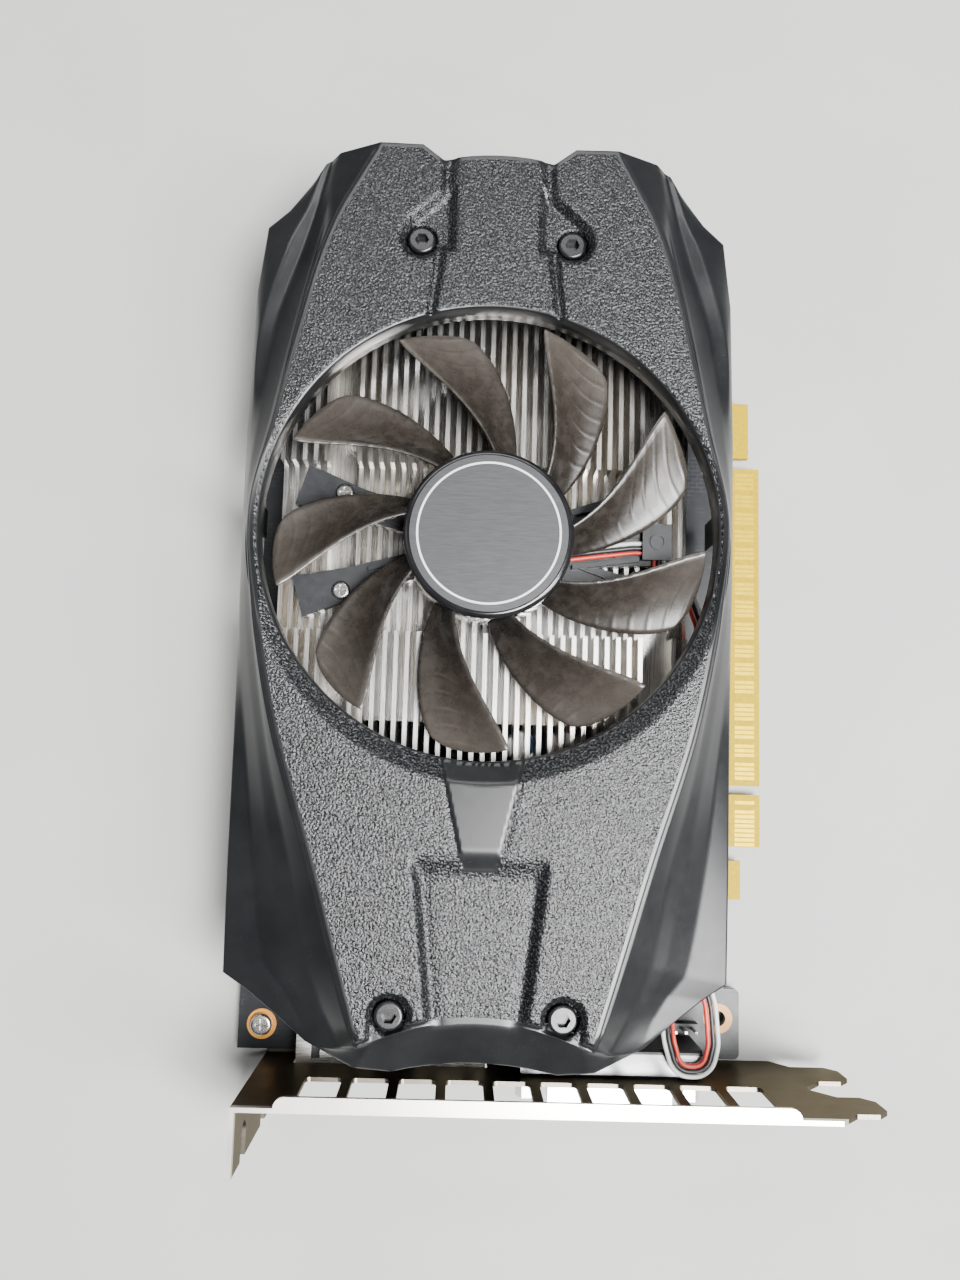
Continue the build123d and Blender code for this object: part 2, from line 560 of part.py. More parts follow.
def end_points(level):
    """The right half of the top edge and of the chin, from the middle outwards, for one line."""
    drop = (0, 0.5, 0.8, 1.1, 1.4)[level]
    z = (SHROUD_TOP_Z - EDGE_DROP, 31.6, 30.6, 29.8, 29.0)[level]
    top = [(11.3 * i / NOTCH_STEPS, 76.4 - 1.3 * (i / NOTCH_STEPS) ** 2 + drop, z) for i in range(NOTCH_STEPS + 1)]
    top.append((15.4 - 0.2 * level, 79.2 + drop * 0.1, z))
    chin = []
    for i in range(CHIN_STEPS):
        t = i / CHIN_STEPS
        inner = (21.7 * t, -91.2 - 5.4 * t ** 2)
        outer = (18.5 * min(1, t * 1.17), -100.3 - 2.6 * min(1, t * 1.17) ** 2)
        if t > 0.86:
            outer = (22.5, -101.6)
        k = level / 4
        chin.append((inner[0] + (outer[0] - inner[0]) * k, inner[1] + (outer[1] - inner[1]) * k,
                     (SHROUD_TOP_Z - EDGE_DROP) - 5.0 * k))
    return top, chin


def shroud_line(level):
    """One closed line round the shroud, clockwise from the middle of the top edge."""
    top, chin = end_points(level)
    side = []
    for station in SIDE_STATIONS:
        point = station[level]
        side.append((*point, SHROUD_TOP_Z - EDGE_DROP) if level == 0 else point)
    right = top + side + chin[::-1]
    left = [(-u, v, z) for u, v, z in reversed(right[1:-1])]
    return right + left


def scaled(line, ratio_u, ratio_v, dz):
    return [(u * ratio_u, (v + 12) * ratio_v - 12, z + dz) for u, v, z in line]


def faceted_solid(lines):
    """A closed solid with flat triangles between lines; the first and last lines are level."""
    faces = []
    for upper, lower in zip(lines, lines[1:]):
        for i in range(len(upper)):
            j = (i + 1) % len(upper)
            for corners in ((upper[i], upper[j], lower[i]), (upper[j], lower[j], lower[i])):
                sides = [(Vector(*corners[a]) - Vector(*corners[b])).length for a, b in ((0, 1), (1, 2), (2, 0))]
                if min(sides) > 1e-4:
                    faces.append(Face(Wire.make_polygon([Vector(*p) for p in corners], close=True)))
    for line in (lines[0], lines[-1]):
        faces.append(Face(Wire.make_polygon([Vector(*p) for p in line], close=True)))
    return Solid(Shell(faces))


def skin_lines(inset, lift):
    """The lines of the shroud's surface from the top plate down to the foot, drawn in and lowered."""
    ratio_u = 1 - inset / 49.0
    ratio_v = 1 - inset / 91.0
    lines = [from_axis(scaled(shroud_line(level), ratio_u, ratio_v, -lift)) for level in range(5)]
    plate = [(u * 0.992, (v + 12) * 0.996 - 12, SHROUD_TOP_Z) for u, v, z in shroud_line(0)]
    plate = from_axis(scaled(plate, ratio_u, ratio_v, -lift))
    foot = [(x, y, SHROUD_FOOT_Z) for x, y, z in lines[-1]]
    return [plate, *lines, foot]


def groove(points, depth):
    """A channel cut into the top plate, and its mirror image."""
    low, high = SHROUD_TOP_Z - depth, SHROUD_TOP_Z + 1
    right = prism(from_axis(points), low, high)
    return right + prism(from_axis([(-u, v) for u, v in points]), low, high)


def shroud_additions():
    """What is moulded under the skin: the fan's collar, the screw bosses and the floor of the panel."""
    added = on_axis(COLLAR_Z, SHROUD_TOP_Z - 1.5, OPENING_R + 1.6)
    for u, v in SHROUD_SCREWS:
        added += rod(AXIS_X + u, AXIS_Y + v, 6.2, SHROUD_TOP_Z - 1, 3.4 if v < 0 else 4.2)
    floor = prism(from_axis([(12.5, -58), (13.5, -90), (-13.5, -90), (-12.5, -58)]),
                  SHROUD_TOP_Z - 3.6, SHROUD_TOP_Z - 1.6)
    return added + floor


def panel_cut():
    """The sunken panel below the fan."""
    panel = [(-12.2, -60.6), (12.2, -60.6), (13.4, -63.0), (9.7, -93.0), (-9.7, -93.0), (-13.4, -63.0)]
    return prism(from_axis(panel), SHROUD_TOP_Z - 1.3, SHROUD_TOP_Z + 1)


def shroud_openings():
    """The fan's opening with its bevel, and the vents in the side and end walls."""
    cuts = [on_axis(COLLAR_Z - 6, SHROUD_TOP_Z + 2, OPENING_R)]
    bevel = Cone(42.5, 47.1, 2.02, align=(Align.CENTER, Align.CENTER, Align.MIN))
    cuts.append(Pos(AXIS_X, AXIS_Y - 2, 31.2) * bevel)
    cuts.append(block((AXIS_X - 60, AXIS_X + 60), (BRACKET_OUTER_Y - 4, AXIS_Y - 82.0), (0, 21.5)))
    for side in (-1, 1):
        xs = sorted((AXIS_X + side * 44, AXIS_X + side * 52))
        for i in range(5):
            y = AXIS_Y - 70 + i * 26
            cuts.append(block(xs, (y, y + 20), (SHROUD_FOOT_Z - 1, 17.5)))
    for i in range(4):
        x = AXIS_X - 32 + i * 17
        cuts.append(block((x, x + 13), (AXIS_Y + 66, AXIS_Y + 84), (SHROUD_FOOT_Z - 1, 20.5)))
    return cuts


def screw_recess(u, v):
    """A round seat for the screw's head, with a tail that runs out of it."""
    x, y = AXIS_X + u, AXIS_Y + v
    recess = rod(x, y, SHROUD_TOP_Z - 1.7, SHROUD_TOP_Z + 1, 4.1)
    recess += rod(x, y, 28.6, SHROUD_TOP_Z + 1, 2.9)
    recess += rod(x, y, 5, 30, 1.7)
    inwards = -1 if u > 0 else 1
    if v > 0:
        tail = [(u, v + 4.0), (u + inwards * 6.4, v + 9.5), (u + inwards * 3.6, v - 1.5), (u, v - 4.0)]
    else:
        tail = [(u - 4.1, v), (u + 4.1, v), (u + 3.4, v - 6), (u - 3.4, v - 6)]
    return recess + prism(from_axis(tail), SHROUD_TOP_Z - 1.7, SHROUD_TOP_Z + 1)


def make_shroud():
    """One thin moulding: an outer skin and an inner skin joined round the foot."""
    shroud = faceted_solid([*skin_lines(0, 0), *reversed(skin_lines(WALL, WALL))])
    shroud += shroud_additions()
    shroud -= panel_cut()
    shroud += prism(from_axis([(-7.9, -44.9), (-3.2, -64.8), (3.2, -64.8), (7.9, -44.9)]),
                    SHROUD_TOP_Z - 1.4, SHROUD_TOP_Z + 0.3)
    shroud -= groove([(11.3, 81), (11.3, 68), (13.1, 44), (11.5, 44), (8.6, 60), (7.9, 81)], 1.1)
    for cut in shroud_openings():
        shroud -= cut
    for u, v in SHROUD_SCREWS:
        shroud -= screw_recess(u, v)
    return shroud


def make_shroud_screw(u, v):
    """A long screw with a round head and a hexagonal socket."""
    x, y = AXIS_X + u, AXIS_Y + v
    head = rod(x, y, 28.6, 31.5, 2.75)
    head = fillet(head.faces().sort_by(Axis.Z)[-1].edges(), 0.6)
    socket = Pos(x, y, 29.9) * extrude(RegularPolygon(1.45, 6), amount=3)
    return head + rod(x, y, 1.6, 29.0, 1.25) - socket


def make_standoff(u, v):
    """A hexagonal brass post between the board and the shroud."""
    x, y = AXIS_X + u, AXIS_Y + v
    post = Pos(x, y, 0) * extrude(RegularPolygon(2.75, 6), amount=6.2)
    return post + rod(x, y, -BOARD_T - 0.6, 0.1, 1.25) - rod(x, y, 1.5, 7, 1.27)


# ---------------------------------------------------------------- fan lead
# The lead leaves the motor along its channel, turns down the side of the heat sink, comes out past the
# corner of the shroud, loops back over the board and ends in a plug.
WIRE_R = 0.45
WIRE_PITCH = 1.0
PLUG_X = (-25.2, -20.0)
PLUG_Y = (-43.9, -40.9)
PLUG_MID_Y = sum(PLUG_Y) / 2
HEADER_PIN_X = (-24.1, -22.6, -21.1)
LEAD_ROUTE = (
    (-46.0, 47.1, 18.3, 0), (-38.5, 48.3, 17.8, 12.0), (-31.0, 49.4, 17.45, 12.0), (-25.9, 49.2, 17.45, 2.4),
    (-25.9, 43.4, 17.45, 3.0), (-19.4, 40.8, 15.9, 3.0), (-16.4, 34.0, 14.4, 5.0), (-16.5, 20.0, 13.2, 20.0),
    (-16.5, 2.0, 13.0, 30.0), (-17.3, -18.0, 13.0, 20.0), (-17.0, -32.0, 13.4, 16.0), (-14.0, -43.0, 13.6, 10.0),
    (-13.4, -50.4, 13.6, 6.0), (-14.7, -55.6, 13.6, 3.3), (-20.7, -55.6, 13.6, 3.3), (-22.4, -49.6, 13.5, 6.0),
    (-22.6, -44.6, 12.2, 2.4), (-22.6, -42.4, 8.3, 0))


def left_of(start, end):
    """The level direction to the left of a run."""
    run = Vector(end[0] - start[0], end[1] - start[1], 0)
    return Vector(-run.Y, run.X, 0).normalized()


def make_wire(offset):
    """One insulated wire of the lead, moved sideways from the lead's middle line."""
    points = []
    radii = []
    last = len(LEAD_ROUTE) - 1
    for i, (x, y, z, bend) in enumerate(LEAD_ROUTE):
        before = left_of(*LEAD_ROUTE[i - 1:i + 1]) if i > 0 else left_of(*LEAD_ROUTE[0:2])
        after = left_of(*LEAD_ROUTE[i:i + 2]) if i < last else before
        across = (before + after) * (1 / (1 + before.dot(after)))
        points.append(Vector(x, y, z) + across * offset)
        turns_left = before.cross(after).Z > 0
        radii.append(bend - offset if turns_left else bend + offset)
    path = FilletPolyline(*points, radius=radii[1:-1])
    start = Plane(origin=path @ 0, z_dir=path % 0)
    return sweep(start * Circle(WIRE_R), path=path)


def square_pin(x, y, z0, z1):
    return block((x - 0.25, x + 0.25), (y - 0.25, y + 0.25), (z0, z1))


def make_plug():
    return block(PLUG_X, PLUG_Y, (3.4, 8.9))


def make_header():
    """A shrouded pin header; its pins are separate."""
    body = block((PLUG_X[0] - 0.8, PLUG_X[1] + 0.8), (PLUG_Y[0] - 0.8, PLUG_Y[1] + 0.8), (0, 7.0))
    body -= block(PLUG_X, PLUG_Y, (1.4, 8))
    for x in HEADER_PIN_X:
        body -= square_pin(x, PLUG_MID_Y, -1, 2)
    return body


def make_spare_header():
    """An unused pin header beside the bracket screw hole."""
    return block((-20.6, -13.9), (-50.9, -49.0), (0, 2.4))


def make_header_pins():
    pins = [square_pin(x, PLUG_MID_Y, -2.9, 1.4) for x in HEADER_PIN_X]
    pins += [square_pin(x, -49.95, 2.4, 6.2) for x in (-19.4, -17.25, -15.1)]
    return pins


def make_solder_pins():
    """The trimmed legs of the large socket, under the board."""
    pins = []
    for row in range(2):
        for col in range(12):
            x, y = DVI_X[0] + 5 + col * 2.4, INNER_Y + 2.0 + row * 2.2
            pins.append(rod(x, y, -2.9, -BOARD_T, 0.4))
    return pins


def main():
    os.makedirs("parts", exist_ok=True)
    board = socket_legs_cut(make_board())
    for x in HEADER_PIN_X:
        board -= square_pin(x, PLUG_MID_Y, -BOARD_T - 1, 1)
    write("circuit_board", board)
    front_missing = {82, 77, 73, 69, 65, 61, 57, 53, 48, 43, 39, 35, 31, 30, 25, 21, 17, 12, 11, 9}
    write("edge_contacts_front", *make_contacts(0, CONTACT_T, front_missing))
    write("edge_contacts_back", *make_contacts(-BOARD_T - CONTACT_T, -BOARD_T, {1, 32, 33, 50}))
    write("screw_hole_rings", *[hole_pad(x, y) for x, y in BRACKET_HOLES])
    write("processor_substrate", make_substrate())
    write("processor_die", make_die())
    write("thermal_paste", make_paste())
    write("memory_chips", *make_memory())
    write("thermal_pads", *make_pads())
    write("power_inductors", *[make_inductor(x, y) for x, y in INDUCTOR_PLACES])
    write("capacitor_cans", *[make_can(x, y, CAN_R, CAN_TOP) for x, y in CAN_PLACES])
    write("capacitor_bases", *[make_can_base(x, y, CAN_R) for x, y in CAN_PLACES])
    write("power_transistors", *make_switches())
    write("controller_chip", block((-86, -79), (-36, -29), (0, 0.9)))
    write("memory_rom_chip", block((-98, -93), (20, 24), (0, 1.6)))
    write("clock_crystal", fillet(block((-99, -87.6), (-6, -2), (0, 3.2)).edges().filter_by(Axis.Z), 1.8))
    write("small_board_parts", *make_small_parts())
    shell, insert, body, jacks = make_dvi()
    write("dvi_shell", shell)
    write("dvi_insert", insert)
    write("dvi_body", body)
    write("dvi_jack_screws", *jacks)
    write("solder_pins", *make_solder_pins())
    for name, cx, half, top in (("hdmi", HDMI_X, 7.2, 6.3), ("displayport", DP_X, 8.0, 6.1)):
        shell, tongue, legs = make_flat_socket(cx, half, top)
        for leg in legs:
            shell += leg
        write(f"{name}_shell", shell)
        write(f"{name}_tongue", tongue)
    write("io_bracket", make_bracket())
    write("bracket_screw", make_bracket_screw())
    write("heat_sink", make_heat_sink())
    write("heat_sink_screws", *[make_sink_screw(x, y) for x, y in sink_screw_places()])
    write("heat_sink_washers", *[make_sink_washer(x, y) for x, y in sink_screw_places()])
    write("fan_frame", make_fan_frame())
    write("fan_frame_screws", *[make_frame_screw(x, y) for x, y in frame_screw_places()])
    write("bearing_sleeve", make_bearing())
    write("stator_core", make_stator())
    write("stator_coils", *make_coils())
    write("motor_board", make_motor_board())
    write("fan_rotor", make_rotor())
    write("rotor_yoke", make_yoke())
    write("magnet_ring", ring(AXIS_X, AXIS_Y, HUB_LOW_Z + 0.3, 26.6, 13.9, 11.9))
    write("rotor_shaft", on_axis(FRAME_Z[0] + 0.2, 27.9, SHAFT_R))
    write("hub_label", on_axis(HUB_TOP_Z, HUB_TOP_Z + 0.15, 15.6))
    write("shroud", make_shroud())
    write("shroud_screws", *[make_shroud_screw(u, v) for u, v in SHROUD_SCREWS])
    write("shroud_standoffs", *[make_standoff(u, v) for u, v in SHROUD_SCREWS])
    for i, colour in enumerate(("red", "black", "white")):
        write(f"lead_wire_{colour}", make_wire((i - 1) * WIRE_PITCH))
    write("lead_plug", make_plug())
    write("lead_header", make_header())
    write("spare_header", make_spare_header())
    write("header_pins", *make_header_pins())


main()
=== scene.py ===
import json
import math

import bmesh
import bpy
import numpy as np
from mathutils import Euler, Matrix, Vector
from mathutils.geometry import delaunay_2d_cdt


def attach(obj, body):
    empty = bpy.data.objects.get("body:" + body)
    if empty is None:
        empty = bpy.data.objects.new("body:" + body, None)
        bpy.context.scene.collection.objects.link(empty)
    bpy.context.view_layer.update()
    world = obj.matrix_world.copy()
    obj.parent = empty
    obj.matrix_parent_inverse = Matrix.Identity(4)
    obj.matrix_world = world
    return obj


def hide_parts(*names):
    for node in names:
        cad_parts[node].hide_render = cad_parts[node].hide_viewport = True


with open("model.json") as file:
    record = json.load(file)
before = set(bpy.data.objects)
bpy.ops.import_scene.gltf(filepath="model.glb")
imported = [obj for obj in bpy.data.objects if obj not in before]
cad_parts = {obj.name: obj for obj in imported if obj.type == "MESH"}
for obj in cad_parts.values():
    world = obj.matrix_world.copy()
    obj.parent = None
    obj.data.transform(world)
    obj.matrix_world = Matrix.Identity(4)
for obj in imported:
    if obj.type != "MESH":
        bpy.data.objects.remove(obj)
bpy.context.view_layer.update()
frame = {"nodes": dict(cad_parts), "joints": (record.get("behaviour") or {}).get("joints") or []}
NODES = frame["nodes"]
MM = 0.001
AXIS = Vector(frame["joints"][0]["pos_m"])
# The fan's axis and the board's face, measured from the tips of the contacts, the key notch and the floor.
AXIS_TO_TIPS = 61.5
AXIS_TO_KEY = 49.0
BOARD_FACE_Z = 3.2
CARD_TO_ROW = Vector((AXIS.x / MM + AXIS_TO_TIPS, AXIS.y / MM - AXIS_TO_KEY, BOARD_FACE_Z))


# The inner face of the bracket, and the metal flange round the big socket that stands on it.
INNER_FACE_Y = -57.6
FLANGE_DEPTH = 4.6
FLANGE_Y = (CARD_TO_ROW.y + INNER_FACE_Y + FLANGE_DEPTH) * MM
# The solder mask ends this far from the tips of the contacts, on the card's side of the shoulder.
MASK_TO_TIPS = 7.9
SHOULDER_Y = -41.0


# ---------------------------------------------------------------- node helpers
class Shader:
    """A node tree that ends in one principled shader; the helpers add and join its nodes."""

    def __init__(self, name, color, rough, metal=0.0):
        self.material = bpy.data.materials.new(name)
        self.material.use_nodes = True
        self.tree = self.material.node_tree
        self.bsdf = self.tree.nodes["Principled BSDF"]
        self.bsdf.inputs["Base Color"].default_value = (*color, 1)
        self.bsdf.inputs["Roughness"].default_value = rough
        self.bsdf.inputs["Metallic"].default_value = metal
        self.coords = self.tree.nodes.new("ShaderNodeTexCoord").outputs["Object"]

    def node(self, kind, **inputs):
        made = self.tree.nodes.new("ShaderNode" + kind)
        for key, value in inputs.items():
            socket = made.inputs[key.replace("_", " ")]
            if isinstance(value, bpy.types.NodeSocket):
                self.tree.links.new(value, socket)
            else:
                socket.default_value = value
        return made

    def link(self, output, socket):
        self.tree.links.new(output, self.bsdf.inputs[socket])

    def stretched(self, factors):
        """Object coordinates, stretched along the axes with the small factors."""
        mapping = self.node("Mapping", Vector=self.coords, Scale=factors)
        return mapping.outputs["Vector"]

    def noise(self, size_mm, detail=3.0, vector=None, rough=0.55):
        """Noise whose features are about size_mm across."""
        made = self.node("TexNoise", Vector=vector or self.coords, Scale=1 / (size_mm * MM),
                         Detail=detail, Roughness=rough)
        return made.outputs["Fac"]

    def cells(self, size_mm):
        """Distance to the nearest of scattered points that are about size_mm apart."""
        made = self.node("TexVoronoi", Vector=self.coords, Scale=1 / (size_mm * MM))
        return made.outputs["Distance"]

    def ramp(self, value, *stops):
        """Colours or greys at positions from 0 to 1."""
        made = self.node("ValToRGB", Fac=value)
        while len(made.color_ramp.elements) < len(stops):
            made.color_ramp.elements.new(0.5)
        for element, (place, color) in zip(made.color_ramp.elements, stops):
            element.position = place
            element.color = (*color, 1) if hasattr(color, "__len__") else (color, color, color, 1)
        return made.outputs["Color"]

    def math(self, operation, a, b=0.0):
        made = self.tree.nodes.new("ShaderNodeMath")
        made.operation = operation
        for socket, value in zip(made.inputs, (a, b)):
            if isinstance(value, bpy.types.NodeSocket):
                self.tree.links.new(value, socket)
            else:
                socket.default_value = value
        return made.outputs[0]

    def mix(self, factor, a, b):
        made = self.tree.nodes.new("ShaderNodeMix")
        made.data_type = "RGBA"
        for socket, value in zip((made.inputs[0], made.inputs[6], made.inputs[7]), (factor, a, b)):
            if isinstance(value, bpy.types.NodeSocket):
                self.tree.links.new(value, socket)
            elif hasattr(value, "__len__"):
                socket.default_value = (*value, 1)
            else:
                socket.default_value = value
        return made.outputs[2]

    def color(self, output):
        self.link(output, "Base Color")

    def rough(self, output, low, high):
        """Roughness between low and high as output runs from 0 to 1."""
        made = self.node("MapRange", Value=output, To_Min=low, To_Max=high)
        self.link(made.outputs["Result"], "Roughness")

    def bump(self, height, depth_mm, strength=1.0):
        made = self.node("Bump", Height=height, Distance=depth_mm * MM, Strength=strength)
        previous = self.bsdf.inputs["Normal"].links
        if previous:
            self.tree.links.new(previous[0].from_socket, made.inputs["Normal"])
        self.link(made.outputs["Normal"], "Normal")

    def axis_value(self, axis):
        """One object coordinate, in metres."""
        split = self.node("SeparateXYZ", Vector=self.coords)
        return split.outputs[axis]

    def radius(self):
        """Distance from the fan's axis, in metres."""
        moved = self.tree.nodes.new("ShaderNodeVectorMath")
        moved.operation = "SUBTRACT"
        self.tree.links.new(self.coords, moved.inputs[0])
        moved.inputs[1].default_value = (AXIS.x, AXIS.y, 0)
        flat = self.tree.nodes.new("ShaderNodeVectorMath")
        flat.operation = "MULTIPLY"
        self.tree.links.new(moved.outputs[0], flat.inputs[0])
        flat.inputs[1].default_value = (1, 1, 0)
        length = self.tree.nodes.new("ShaderNodeVectorMath")
        length.operation = "LENGTH"
        self.tree.links.new(flat.outputs[0], length.inputs[0])
        return length.outputs["Value"]

    def dust(self, amount, size_mm=0.45):
        """Pale specks scattered over the surface, mixed into the colour that is linked already."""
        specks = self.ramp(self.cells(size_mm), (0.0, 1.0), (0.11, 0.0))
        where = self.ramp(self.noise(9.0, 2.0), (0.42, 0.0), (0.75, 1.0))
        factor = self.math("MULTIPLY", self.math("MULTIPLY", specks, where), amount)
        links = self.bsdf.inputs["Base Color"].links
        self.color(self.mix(factor, links[0].from_socket, (0.45, 0.44, 0.42)))


PLASTIC_MOTTLE = 0.2
METAL_BLOTCH = 0.12


def plain_plastic(name, color, rough=0.45, size_mm=0.25, depth_mm=0.02):
    """Moulded plastic: fine grain, slight mottling and uneven gloss."""
    s = Shader(name, color, rough)
    mottle = s.noise(6.0, 4.0)
    pale = tuple(min(1.0, c * (1 + PLASTIC_MOTTLE) + 0.004) for c in color)
    dark = tuple(c * (1 - PLASTIC_MOTTLE) for c in color)
    s.color(s.ramp(mottle, (0.3, dark), (0.7, pale)))
    s.rough(s.noise(1.5, 3.0), rough - 0.07, rough + 0.09)
    s.bump(s.noise(size_mm, 2.0), depth_mm)
    return s


def brushed_metal(name, color, rough, along, size_mm=0.12, depth_mm=0.004):
    """Metal with fine lines along one axis."""
    s = Shader(name, color, rough, metal=1.0)
    factors = [1.0, 1.0, 1.0]
    factors["XYZ".index(along)] = 0.03
    lines = s.noise(size_mm, 3.0, s.stretched(factors))
    blotch = s.noise(7.0, 4.0)
    pale = tuple(min(1.0, c * (1 + METAL_BLOTCH)) for c in color)
    dark = tuple(c * (1 - METAL_BLOTCH) for c in color)
    s.color(s.mix(0.35, s.ramp(blotch, (0.3, dark), (0.7, pale)), s.ramp(lines, (0.3, dark), (0.7, pale))))
    s.rough(lines, rough - 0.08, rough + 0.12)
    s.bump(lines, depth_mm)
    return s


# ---------------------------------------------------------------- materials
def grained_shroud():
    """Fine moulded leather grain, black, with small glossy tops that catch the light; the tops of the grain
    are also painted paler, as painted highlights.
    """
    s = Shader("shroud_grain_painted_glints", (0.012, 0.0125, 0.0135), 0.3)
    grain = s.noise(0.44, 2.0, rough=0.5)
    # Painted highlights: the tops of the grain are painted paler than its hollows, standing in for the
    # glints of light on them.
    s.color(s.mix(s.ramp(grain, (0.5, 0.0), (0.68, 1.0)), (0.005, 0.0053, 0.0058), (0.036, 0.037, 0.04)))
    s.rough(s.noise(1.3, 3.0), 0.16, 0.26)
    s.bump(grain, 0.26, 1.0)
    s.bump(s.cells(0.8), 0.06, 0.8)
    s.dust(0.45)
    return s


def smooth_shroud():
    s = Shader("shroud_satin", (0.012, 0.0125, 0.0135), 0.3)
    s.color(s.ramp(s.noise(11.0, 3.0), (0.3, (0.006, 0.0064, 0.0072)), (0.7, (0.011, 0.0116, 0.0126))))
    s.rough(s.noise(2.5, 4.0), 0.26, 0.36)
    s.bump(s.noise(0.18, 2.0), 0.008)
    s.dust(0.7)
    return s


def blade_plastic():
    """Smoky plastic, darker at the root, with a thin uneven film of dust."""
    s = Shader("blade_smoke", (0.045, 0.037, 0.031), 0.3)
    out = s.node("MapRange", Value=s.radius(), From_Min=0.018, From_Max=0.043).outputs["Result"]
    body = s.ramp(out, (0.0, (0.011, 0.009, 0.0075)), (0.55, (0.021, 0.017, 0.014)),
                  (1.0, (0.046, 0.04, 0.034)))
    veil = s.noise(2.6, 6.0, rough=0.65)
    s.color(s.mix(s.ramp(veil, (0.45, 0.0), (0.85, 0.22)), body, (0.12, 0.105, 0.09)))
    s.rough(veil, 0.2, 0.36)
    s.bump(s.noise(0.3, 2.0), 0.01)
    s.dust(0.7, 0.35)
    return s


def hub_gloss():
    """Polished black moulding with faint turning marks and fine dust."""
    s = Shader("hub_gloss", (0.008, 0.008, 0.009), 0.12)
    s.color(s.ramp(s.noise(5.0, 3.0), (0.3, (0.006, 0.006, 0.007)), (0.7, (0.012, 0.012, 0.013))))
    s.rough(s.noise(1.6, 4.0), 0.08, 0.22)
    s.bump(s.noise(0.4, 2.0), 0.003)
    s.dust(0.5, 0.3)
    return s


def board_mask():
    """Black solder mask with the tracks under it, and bare yellow laminate past the edge of the mask."""
    s = Shader("board_mask", (0.02, 0.022, 0.025), 0.33)
    tracks = s.node("TexBrick", Vector=s.coords, Scale=260.0)
    tracks.inputs["Mortar Size"].default_value = 0.03
    lines = s.math("MULTIPLY", tracks.outputs["Fac"], s.ramp(s.noise(8.0, 2.0), (0.45, 0.0), (0.55, 1.0)))
    mask = s.mix(lines, (0.013, 0.014, 0.016), (0.026, 0.028, 0.031))
    past_mask = s.math("GREATER_THAN", s.axis_value("X"), (CARD_TO_ROW.x - MASK_TO_TIPS) * MM)
    past_shoulder = s.math("GREATER_THAN", s.axis_value("Y"), (CARD_TO_ROW.y + SHOULDER_Y) * MM)
    bare = s.math("MULTIPLY", past_mask, past_shoulder)
    laminate = s.ramp(s.noise(0.8, 3.0), (0.3, (0.4, 0.27, 0.002)), (0.7, (0.5, 0.345, 0.004)))
    s.color(s.mix(bare, mask, laminate))
    shine = s.node("MapRange", Value=bare, To_Min=0.3, To_Max=0.03)
    s.link(shine.outputs["Result"], "Specular IOR Level")
    s.rough(s.noise(2.0, 3.0), 0.27, 0.4)
    s.bump(lines, 0.02)
    s.bump(s.noise(0.4, 2.0), 0.006)
    return s


def gold_plate():
    s = Shader("gold_plate", (0.5, 0.34, 0.01), 0.4, metal=0.35)
    s.bsdf.inputs["Specular IOR Level"].default_value = 0.1
    s.color(s.ramp(s.noise(1.2, 4.0), (0.3, (0.48, 0.325, 0.003)), (0.7, (0.6, 0.415, 0.006))))
    s.rough(s.noise(0.2, 3.0, s.stretched((0.1, 1, 1))), 0.34, 0.5)
    s.bump(s.noise(0.1, 2.0, s.stretched((0.05, 1, 1))), 0.003)
    return s


LABEL_RING_R = 14.05
LABEL_RING_HALF = 0.2


def label_film():
    """A printed disc: brushed grey film with one thin white ring."""
    s = Shader("label_film", (0.03, 0.03, 0.032), 0.38)
    r = s.radius()
    off = s.math("ABSOLUTE", s.math("SUBTRACT", r, LABEL_RING_R * MM))
    line = s.math("LESS_THAN", off, LABEL_RING_HALF * MM)
    turned = s.noise(0.15, 3.0, s.stretched((0.05, 1, 1)))
    film = s.ramp(turned, (0.3, (0.035, 0.036, 0.038)), (0.7, (0.052, 0.053, 0.055)))
    s.color(s.mix(line, film, (0.7, 0.7, 0.7)))
    s.rough(turned, 0.3, 0.44)
    s.bump(turned, 0.003)
    return s


# Heights above the floor: the printed tops of the cans, and the folded lip of the bracket, above which the
# bracket carries a painted highlight.
CAN_TOP_Z = 11.35
LIP_Z = 37.4


def can_metal():
    """Drawn aluminium, with a blue printed segment on the top of the can."""
    s = brushed_metal("can_metal", (0.8, 0.8, 0.82), 0.28, "Z")
    is_top = s.math("GREATER_THAN", s.axis_value("Z"), CAN_TOP_Z * MM)
    base = s.bsdf.inputs["Base Color"].links[0].from_socket
    half = s.math("FRACT", s.math("MULTIPLY", s.axis_value("X"), 122.0))
    blue = s.math("MULTIPLY", is_top, s.math("GREATER_THAN", half, 0.45))
    s.color(s.mix(blue, base, (0.02, 0.19, 0.42)))
    metal = s.node("MapRange", Value=blue, To_Min=1.0, To_Max=0.0)
    s.link(metal.outputs["Result"], "Metallic")
    return s


def fin_metal():
    """Bare fins, silver with a warm tint that shifts slowly along the sink."""
    s = Shader("fin_metal", (0.86, 0.83, 0.78), 0.3, metal=1.0)
    drift = s.noise(22.0, 2.0, s.stretched((1.0, 0.5, 0.2)))
    lines = s.noise(0.25, 3.0, s.stretched((1.0, 0.02, 1.0)))
    warm = s.ramp(drift, (0.35, (0.9, 0.89, 0.87)), (0.65, (0.84, 0.78, 0.69)))
    s.color(s.mix(0.25, warm, s.ramp(lines, (0.3, 0.6), (0.7, 0.95))))
    s.rough(lines, 0.2, 0.36)
    s.bump(lines, 0.006)
    return s


def socket_block():
    """The body of the big socket: a dull metal flange at the bracket, and black plastic behind it."""
    s = brushed_metal("socket_block", (0.3, 0.3, 0.31), 0.36, "X")
    behind = s.math("GREATER_THAN", s.axis_value("Y"), FLANGE_Y)
    metal = s.bsdf.inputs["Base Color"].links[0].from_socket
    s.color(s.mix(behind, metal, (0.012, 0.012, 0.013)))
    bare = s.node("MapRange", Value=behind, To_Min=1.0, To_Max=0.0)
    s.link(bare.outputs["Result"], "Metallic")
    return s


